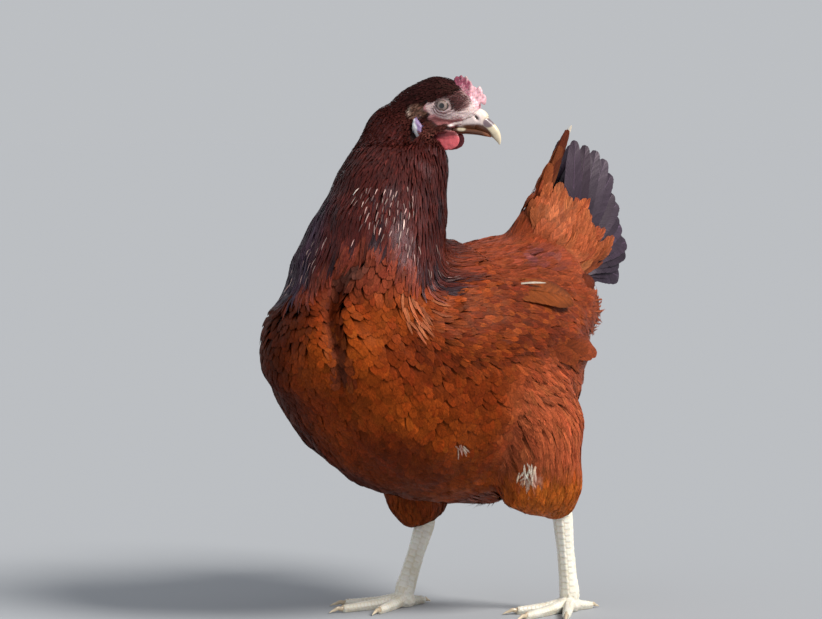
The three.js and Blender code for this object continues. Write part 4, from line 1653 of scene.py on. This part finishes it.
def lid_net(sign, rings, sides, inner):
    """Points, faces and colours of one eye's lids. The inner rings turn in towards the ball."""
    turn = np.arange(sides) / sides * 2 * math.pi
    corner = np.exp(-((np.minimum(turn, 2 * math.pi - turn)) ** 2) / 0.12)
    rim = 4.15 + 0.30 * np.cos(2 * (turn + 0.2)) + 0.5 * corner
    t = np.maximum(np.arange(-inner, rings), 0)[:, None] / (rings - 1)
    gap = (LID_REACH - rim) * t
    u, v = (rim + gap) * np.cos(turn), (rim + gap) * np.sin(turn)
    face_y = cheek_depth(u, v, sign)
    ball_y = EYE_PLACE[1] + np.sqrt(np.maximum((EYE_RADIUS + LID_ROOM) ** 2 - (rim + gap) ** 2, 0))
    lower = smooth(-v, -1.0, 4.0)
    y = np.logaddexp(ball_y, face_y) - 0.2 * (1 - t)
    fold = FOLD * (1 + 0.22 * np.cos(turn + 0.6))
    wave = np.sin(gap * 2 * math.pi / fold - 1.2 + 0.6 * np.sin(turn * 3) + 0.5 * np.sin(turn * 7 + 1))
    y = y + wave * (0.12 + 0.20 * lower) * np.exp(-((gap / 4.0) ** 2))
    y = y + 0.5 * lower * np.exp(-(((gap - 2.6) / 1.5) ** 2))
    sink = smooth(t, 0.78, 1.0)
    y = y * (1 - sink) + (face_y - 0.6) * sink
    y[:inner] -= np.arange(inner, 0, -1)[:, None] * 0.28
    flat = np.stack([EYE_PLACE[0] + u, sign * y, EYE_PLACE[2] + v], 2).reshape(-1, 3)
    # painted shade: lighter on each fold's crest, darker in its groove
    tone = (0.5 + 0.5 * wave * (0.65 + 0.35 * np.sin(turn * 2 - 0.5))).ravel()
    colour = mix(mix(*UPPER_LID, tone), mix(*LOWER_LID, tone), lower.ravel())
    colour = mix(colour, head_colour(on_head(flat)), smooth(gap.ravel(), 2.6 + 1.2 * lower.ravel(), 6.2))
    return on_head(flat), net_faces(rings + inner, sides, sign), colour


lids = [lid_net(sign, 44, 120, 3) for _, sign in SIDES]
print("lid nets", [len(lid[0]) for lid in lids])


# %% [markdown]
# ## Legs and feet
# The legs below the hock are bare and covered with horny scales. Broad scutes overlap down
# the front of the shank in two rows and along the top of each toe in one, and small pebbled
# scales cover the back and sides. The frame's shank and toes are fused on fine cubes, and
# the scales are pressed in by height: a saw-tooth along the leg makes scutes that overlap.

# %% Centre lines of the frame's long solids
TOES = ("inner", "middle", "outer", "hind")
FEET = [(side, toe) for side, _ in SIDES for toe in TOES]


def centre_line(name, count, onwards):
    """Spots down the middle of a long solid, and its mean radius at each."""
    points, _ = solid(name)
    centre = points.mean(0)
    way = np.linalg.svd(points - centre, full_matrices=False)[2][0]
    way = way * np.sign(way @ onwards)
    along = (points - centre) @ way
    stops = np.linspace(along.min(), along.max(), count)
    share = np.exp(-(((along[None] - stops[:, None]) / (0.6 * (stops[1] - stops[0]))) ** 2))
    share /= share.sum(1, keepdims=True)
    line = share @ points
    line = line + way * (stops - (line - centre) @ way)[:, None]
    out = points[None] - line[:, None]
    out = np.linalg.norm(out - (out @ way)[..., None] * way, axis=2)
    return line, (share * out).sum(1)


print("radius of the shank", np.round(centre_line("shank_left", 3, -UP)[1] / MM, 1), "mm")


# %% Scales and the two feet
FOOT_CELL = 0.62 * MM
LEG_PALE = np.array([0.94, 0.91, 0.81])
LEG_DEEP = np.array([0.80, 0.73, 0.57])
SCALE_TURN = 0.9  # the angle that one row of scales takes round the leg
SHANK_PITCH = 5.2  # from one scale to the next
TOE_PITCH = 3.4
HOCK = 22 * MM  # the length of shank that bends into the thigh


def scale_height(points, line, front, pitch, shift):
    """Distance from a leg bone's line, and the height of the scales round it."""
    gap, along, spot = on_line(points, line)
    out, way = unit(points - spot), unit(line[-1] - line[0])
    front = unit(front - way * (way @ front))
    angle = np.arctan2(out @ np.cross(way, front), out @ front)
    row = angle / SCALE_TURN + shift
    step = along / (pitch * MM) + 0.5 * (np.floor(row) % 2) + 0.10 * np.cos(angle * 2)
    part = step % 1
    ditches = sum(np.exp(-(((v % 1) - end) / 0.10) ** 2) for v in (part, row) for end in (0, 1))
    ahead = smooth(1.9 - np.abs(angle), 0, 0.5)
    pebbles = 0.22 * (np.abs(ripple(points, 2.6 * MM, 61)) - 0.5)
    return gap, (0.30 * part - 0.22 * ditches) * ahead + pebbles * (1 - ahead)


def foot(side):
    """Points, faces and colours of one shank with its toes."""
    names = ["shank_" + side] + [f"toe_{side}_{toe}" for toe in TOES]
    points, faces = remeshed(*joined([solid(name) for name in names]), FOOT_CELL)
    points = relax(points, faces, 4)
    shank = centre_line(names[0], 7, -UP)[0]
    results = [scale_height(points, shank, -BACK, SHANK_PITCH, 0.0)]
    for name, toe in zip(names[1:], TOES):
        line = centre_line(name, 6, middle(f"claw_{side}_{toe}") - shank[-1])[0]
        results.append(scale_height(points, line, UP, TOE_PITCH, 0.5))
    which = np.stack([gap for gap, _ in results]).argmin(0)
    height = np.choose(which, [tall for _, tall in results])
    off_floor = smooth(points[:, 2], 0.0, 1.4 * MM)
    points = points + normals_of(points, faces) * (height * off_floor)[:, None] * MM
    bend = np.maximum(points[:, 2] - shank[0, 2] + HOCK, 0) ** 2 / (20 * MM)
    points = points + unit((middle("thigh_" + side) - shank[0]) * [1, 1, 0]) * bend[:, None]
    points[:, 2] = np.maximum(points[:, 2], 0.0)
    tone = smooth(height + 0.12 * ripple(points, 7 * MM, 62), -0.25, 0.25)
    colour = mix(LEG_DEEP, LEG_PALE, tone) * (0.8 + 0.2 * smooth(points[:, 2:3], 0, 0.02))
    return points, faces, colour


feet = [foot(side) for side, _ in SIDES]
print("feet", [len(f[0]) for f in feet], "points")


# %% [markdown]
# ## One skin
# The body's skin is the fleshy solids fused and drawn inwards by the depth of the coat, and
# the head's skin stays where it is bare. Head, lids, body and feet are joined into one
# object, so that the hen has a single skin with no seam in sight. Living skin lets a little
# light through, and its finish changes from plucked skin to bare face to horny leg.

# %% Skin materials
def skin_material(name, grain_size, depth, low, high, **sockets):
    """Skin with a grain of grain_size bumps a metre, depth deep, between two brightnesses."""
    material, tree, shader = new_material(name, **sockets)
    grain = object_noise(tree, grain_size, 5.0, Roughness=0.62)
    place = node(tree, "ShaderNodeTexCoord")
    cells = node(tree, "ShaderNodeTexVoronoi", {"Scale": grain_size * 0.8})
    linked(tree, (place.outputs["Object"], cells.inputs["Vector"]))
    coat_tint(tree, shader, grain, low, high)
    bump_from(tree, shader, math_node(tree, "ADD", grain, cells.outputs["Distance"]), 0.5, depth)
    return material


PLUCKED = skin_material("skin under feathers", 900, 0.0003, 0.72, 1.22, Roughness=0.8)
NAKED = skin_material("bare skin of the face", 1500, 0.00025, 0.72, 1.22, Roughness=0.42,
                      Subsurface_Weight=0.10, Subsurface_Scale=0.003)
SCALY = skin_material("scaly leg", 700, 0.0002, 0.82, 1.12, Roughness=0.45,
                      Subsurface_Weight=0.05, Subsurface_Scale=0.003)
print("skin materials", [m.name for m in (PLUCKED, NAKED, SCALY)])

# %% Join the skin
HEAD_SUNK = 2.5 * MM  # how much deeper the body's skin lies inside the head's own
UNDER_COAT = 0.55  # how bright the skin is next to the feathers over it
body_points, body_faces = remeshed(*joined([solid(n) for n in FLESHY]), OUTLINE_CELL)
body_points = relax(body_points, body_faces, 7)
_, read = on_outline(body_points)
body_shares, body_normals = read(shares), unit(read(outline_normals))
body_depth = depth_at(body_points, body_shares) + HEAD_SUNK * share_of(body_shares, "head")
body_colours = coat_colour(body_points, body_shares) * UNDER_COAT
body_points = press_creases(body_points, body_faces, body_shares)
body_points = relax(body_points - body_normals * body_depth[:, None], body_faces, 3)

skin_parts = [(body_points, body_faces, body_colours), (head_points, head_faces, head_colours), *lids, *feet]
finish_of = (0, 1, 1, 1, 2, 2)  # plucked body, naked head and lids, scaly feet
skin = make_object("skin", *joined([part[:2] for part in skin_parts]), [PLUCKED, NAKED, SCALY])
finishes = [np.full(len(part[1]), n) for part, n in zip(skin_parts, finish_of)]
skin.data.polygons.foreach_set("material_index", np.concatenate(finishes).astype(np.int32))
add_colours(skin, np.concatenate([part[2] for part in skin_parts]))
pairs = [f"{name}_{side}" for name in ("wattle", "earlobe", "shank") for side, _ in SIDES]
toes = [f"toe_{side}_{toe}" for side, toe in FEET]
finished(skin, FLESHY + ["comb"] + pairs + toes)


# %% [markdown]
# ## Beak
# The upper beak hooks down over the lower. It's pale and fleshy at the base, partly painted
# light on its top, where the nostril is a slanting slit in painted shade. Below a ridge along
# the side it is brown, painted shade on the face that turns down, and it is cream at the tip.
# Each half is a tube along a bent line, squared a little so that it has a cutting edge,
# and then pushed in or out at the nostril and under the ridge.

# %% Horn material
def horn_material():
    """Smooth horn with soft streaks under a thin clear coat."""
    material, tree, shader = new_material("horn", Roughness=0.34, Coat_Weight=0.25)
    coat_tint(tree, shader, object_noise(tree, 160.0, 3.0, Distortion=1.5), 0.7, 1.3)
    bump_from(tree, shader, object_noise(tree, 420.0, 6.0, Roughness=0.6), 0.25, 0.0002)
    return material


HORN = horn_material()
print("material", HORN.name)

# %% Lines of the beak
UPPER_BEAK = [  # along, up, half height, half width
    (12, -12.8, 7.4, 6.8), (19.5, -13.8, 8.3, 7.0), (28, -14.0, 8.9, 6.2), (32, -17.0, 6.8, 5.3),
    (35.8, -19.3, 5.5, 4.5), (39.2, -21.9, 4.7, 3.6), (42.3, -25.4, 3.7, 2.5), (44.6, -29.9, 2.0, 1.4),
    (45.4, -33.2, 0.4, 0.4),
]
LOWER_BEAK = [
    (9, -21.4, 3.4, 6.4), (19, -22.4, 2.8, 6.0), (28, -23.4, 2.5, 4.6), (35, -25.2, 1.9, 3.0),
    (38.4, -27.0, 0.7, 1.2),
]
BEAK_RIDGE = ([10, 20, 25, 30, 33, 36, 39, 42, 45.5],  # along
              [-19, -17.5, -17.2, -17.4, -18, -20.5, -24, -28, -33])  # up
BEAK_CREAM = np.array([0.80, 0.68, 0.48])
# brown painted as the shade on the beak's lower faces
BEAK_SHADE_BROWN = np.array([0.15, 0.050, 0.020])
BEAK_SPOT = np.array([0.08, 0.035, 0.085])
NOSTRIL = (28.2, -12.3)


def beak_half(stations):
    """Places and faces of one half of the beak, in head millimetres."""
    line = smooth_line(stations, 70)
    path = in_mid_plane(line[:, :2])
    return tube(path, np.maximum(line[:, 3], 0.15), np.maximum(line[:, 2], 0.15), [0, 1, 0], 64, 0.86)


print("the beak is drawn through", len(UPPER_BEAK), "and", len(LOWER_BEAK), "stations")

# %% The upper beak
points, faces = beak_half(UPPER_BEAK)
below = smooth(np.interp(points[:, 0], *BEAK_RIDGE) - points[:, 2], -0.4, 0.9)
across, down = points[:, 0] - NOSTRIL[0], points[:, 2] - NOSTRIL[1]
thwart, along = 0.8 * across + 0.6 * down, 0.6 * across - 0.8 * down
slit = np.exp(-((thwart / 1.1) ** 2) - (along / 2.3) ** 2)
brim = np.exp(-((thwart / 2.2) ** 2) - (along / 3.6) ** 2)
outer = np.sign(points[:, 1]) * smooth(np.abs(points[:, 1]), 1.5, 3.5)
points[:, 1] += outer * (0.8 * brim - 2.6 * slit - 0.5 * below)
# pale base, partly painted light on the beak's top
colour = mix(PALE_SKIN_AND_HIGHLIGHT * 1.02, BEAK_CREAM, smooth(points[:, 0], 30, 38))
# painted shade: brown on the side below the ridge, which faces down
colour = mix(colour, BEAK_SHADE_BROWN, below * smooth(points[:, 0], 12, 19) * smooth(-points[:, 0], -43.5, -37.5))
spot = near(points, 37.2, -16.3, 3.3, 3.0, 0.5) * (1 - below)
colour = mix(colour, BEAK_SPOT, spot * 0.85)
# painted shade in the nostril slit
colour = mix(colour, BEAK_SHADE_BROWN * 0.3, smooth(slit, 0.25, 0.6))
upper_beak = make_object("upper_beak", on_head(points), faces, [HORN])
add_colours(upper_beak, colour)
finished(upper_beak, ["beak_upper"])

# %% The lower beak
points, faces = beak_half(LOWER_BEAK)
# dark brown lower beak, partly painted shade under the upper beak, paler towards the tip
colour = mix(BEAK_SHADE_BROWN * 0.8, BEAK_SHADE_BROWN * 3.2, smooth(points[:, 0], 31, 39))
colour = mix(colour, BEAK_CREAM, near(points, 16.0, -21.3, 2.2, 1.1, 0.9) * 0.9)
lower_beak = make_object("lower_beak", on_head(points), faces, [HORN])
add_colours(lower_beak, colour)
finished(lower_beak, ["beak_lower"])


# %% [markdown]
# ## Eyes
# Each eye is a ball with a slight bulge in front, like the clear cornea. The pupil, the
# rays of the iris and a dark ring round it, the lids' painted shadow, are coloured by the
# distance from the middle, on rings fine enough to hold them, and a clear coat gives the
# wet shine.

# %% The eyes
PUPIL = 2.1
IRIS = 3.9
EYE_DARK = np.array([0.004, 0.004, 0.005])
LID_SHADOW_RING = np.array([0.03, 0.018, 0.016])
IRIS_TONES = np.array([[0.20, 0.125, 0.11], [0.40, 0.30, 0.27]])
IRIS_WARM = np.array([0.24, 0.15, 0.09])


def eye_material():
    """A finely grained ball under a wet clear coat."""
    material, tree, shader = new_material("wet eye", Roughness=0.22, Coat_Weight=1.0, Coat_Roughness=0.03)
    coat_tint(tree, shader, object_noise(tree, 2600.0, 4.0), 0.8, 1.2)
    return material


def eyeball(sign, rings, sides):
    """Points, faces and colours of one eye, as rings from the pupil to behind the widest place."""
    angle = np.linspace(0.0, 1.9, rings)[:, None]
    turn = np.arange(sides) / sides * 2 * math.pi
    radius = EYE_RADIUS * np.sin(angle)
    bulge = 0.35 * np.exp(-((radius / 3.4) ** 2)) * (angle < 1.2)
    y = EYE_PLACE[1] + EYE_RADIUS * np.cos(angle) + bulge + 0 * turn
    points = [EYE_PLACE[0] + radius * np.cos(turn), sign * y, EYE_PLACE[2] + radius * np.sin(turn)]
    gap = (radius + 0 * turn).ravel()
    around = np.tile(turn, rings)
    rays = 0.5 + 0.5 * np.sin(around * 23 + 2 * np.sin(around * 7) + gap * 1.3)
    iris = mix(IRIS_TONES[0], IRIS_TONES[1], rays)
    iris = mix(iris, IRIS_WARM, smooth(gap, 3.0, 3.8) * 0.7 + smooth(-gap, -2.5, -1.9) * 0.5)
    colour = mix(EYE_DARK, iris, smooth(gap, PUPIL - 0.12, PUPIL + 0.12))
    # painted shadow of the lids, a dark ring round the iris
    colour = mix(colour, LID_SHADOW_RING, smooth(gap, IRIS - 0.15, IRIS + 0.25))
    return on_head(np.stack(points, 2).reshape(-1, 3)), net_faces(rings, sides, sign), colour


EYE_GLOSS = eye_material()
for side, sign in SIDES:
    points, faces, colour = eyeball(sign, 70, 96)
    eye = make_object("eyeball_" + side, points, faces, [EYE_GLOSS])
    add_colours(eye, colour)
    finished(eye, ["eye_" + side])


# %% [markdown]
# ## Claws
# A claw is a bent cone of horn, set into the end of each toe. Its line and thickness are
# read from the frame's claw, and it's begun a little inside the toe so that no gap shows.

# %% The claws
CLAW_BASE = np.array([0.42, 0.31, 0.20])
CLAW_TIP = np.array([0.68, 0.58, 0.42])
CLAW_SIDES = 16


def claw(side, toe):
    """Points, faces and colours of one claw."""
    name = f"claw_{side}_{toe}"
    line, radius = centre_line(name, 6, middle(name) - middle(f"toe_{side}_{toe}"))
    line = smooth_line(np.vstack([line[0] + 0.5 * (line[0] - line[1]), line]), 18)
    t = np.linspace(0, 1, len(line))
    fat = radius.max() * np.interp(t, [0, 0.25, 0.7, 1], [1.0, 1.05, 0.62, 0.12])
    points, faces = tube(line, fat * 0.85, fat, np.cross(line[-1] - line[0], UP), CLAW_SIDES)
    points[:, 2] = np.maximum(points[:, 2], 0.0)
    return points, faces, mix(CLAW_BASE, CLAW_TIP, np.concatenate([np.repeat(t, CLAW_SIDES), [0, 1]]))


parts = [claw(side, toe) for side, toe in FEET]
claws = make_object("claws", *joined([part[:2] for part in parts]), [HORN])
add_colours(claws, np.concatenate([part[2] for part in parts]))
finished(claws, [f"claw_{side}_{toe}" for side, toe in FEET])


# %% [markdown]
# ## Floor, light and camera
# A plain pale floor, one large soft light from the upper right and a weak one from the
# left show the form without hard shadows. The camera stands two and a half metres away
# with a long lens, about as high as the hen's head, so that nothing is stretched.

# %% Floor and light
AIM = np.array([-10.3, -40.4, 243.0]) * MM
AZIMUTH, TILT = math.radians(50), math.radians(3.3)
TO_RIGHT = np.array([math.cos(AZIMUTH), math.sin(AZIMUTH), 0])
LEVEL = np.array([math.sin(AZIMUTH), -math.cos(AZIMUTH), 0])
TO_CAMERA = LEVEL * math.cos(TILT) + UP * math.sin(TILT)
FLOOR_HALF = 60.0
FLOOR_PALE = (0.394, 0.410, 0.435, 1)
SKY = (0.90, 0.93, 0.97, 1)
SKY_STRENGTH = 0.56


def soft_sun(name, towards, strength, colour, spread):
    """Light from one side, as soft as a lamp that fills spread degrees of the sky."""
    data = bpy.data.lights.new(name, "SUN")
    data.energy, data.color, data.angle = strength, colour, math.radians(spread)
    light = bpy.data.objects.new(name, data)
    light.rotation_euler = Vector(towards).to_track_quat("Z", "Y").to_euler()
    bpy.context.scene.collection.objects.link(light)


corners = np.array([[-1, -1, 0], [1, -1, 0], [1, 1, 0], [-1, 1, 0]]) * FLOOR_HALF
pale = new_material("pale floor", Base_Color=FLOOR_PALE, Roughness=0.95, Specular_IOR_Level=0.0)[0]
make_object("floor", corners, [[0, 1, 2, 3]], [pale], False)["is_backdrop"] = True
soft_sun("key", 0.88 * TO_RIGHT + 0.55 * LEVEL + 0.92 * UP, 3.6, (1.0, 0.965, 0.91), 22)
soft_sun("fill", -1.0 * TO_RIGHT + 0.5 * LEVEL + 0.5 * UP, 0.10, (0.92, 0.95, 1.0), 60)

studio = bpy.data.worlds.new("studio")
studio.use_nodes = True
sky = studio.node_tree.nodes["Background"]
sky.inputs["Color"].default_value = SKY
sky.inputs["Strength"].default_value = SKY_STRENGTH
bpy.context.scene.world = studio
bpy.context.scene.view_settings.view_transform = "Standard"
print("lights", [light.name for light in bpy.data.lights])

# %% Camera
CAMERA_AWAY = 2.5
lens = bpy.data.cameras.new("camera")
lens.sensor_width = 36.0  # millimetres, as the focal length below
lens.lens = 139.05
camera = bpy.data.objects.new("camera", lens)
camera.location = AIM + CAMERA_AWAY * TO_CAMERA
camera.rotation_euler = Vector(TO_CAMERA).to_track_quat("Z", "Y").to_euler()
bpy.context.scene.collection.objects.link(camera)
bpy.context.scene.camera = camera
print("camera at", np.round(camera.location, 3))

# %% [markdown]
# ## Sizes, and the end
# Both boxes, the frame's and the model's, are printed at the end. The model may stand only
# a little proud of the frame's box.

# %% Write the sizes and finish
def plain(box):
    """A box as plain lists, in metres to five places."""
    return [[round(float(v), 5) for v in corner] for corner in box]


bpy.context.view_layer.update()
{"cad": plain(CAD_BOX), "visual": plain(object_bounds())}
print("box of the frame", plain(CAD_BOX), "and of the model", plain(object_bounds()))
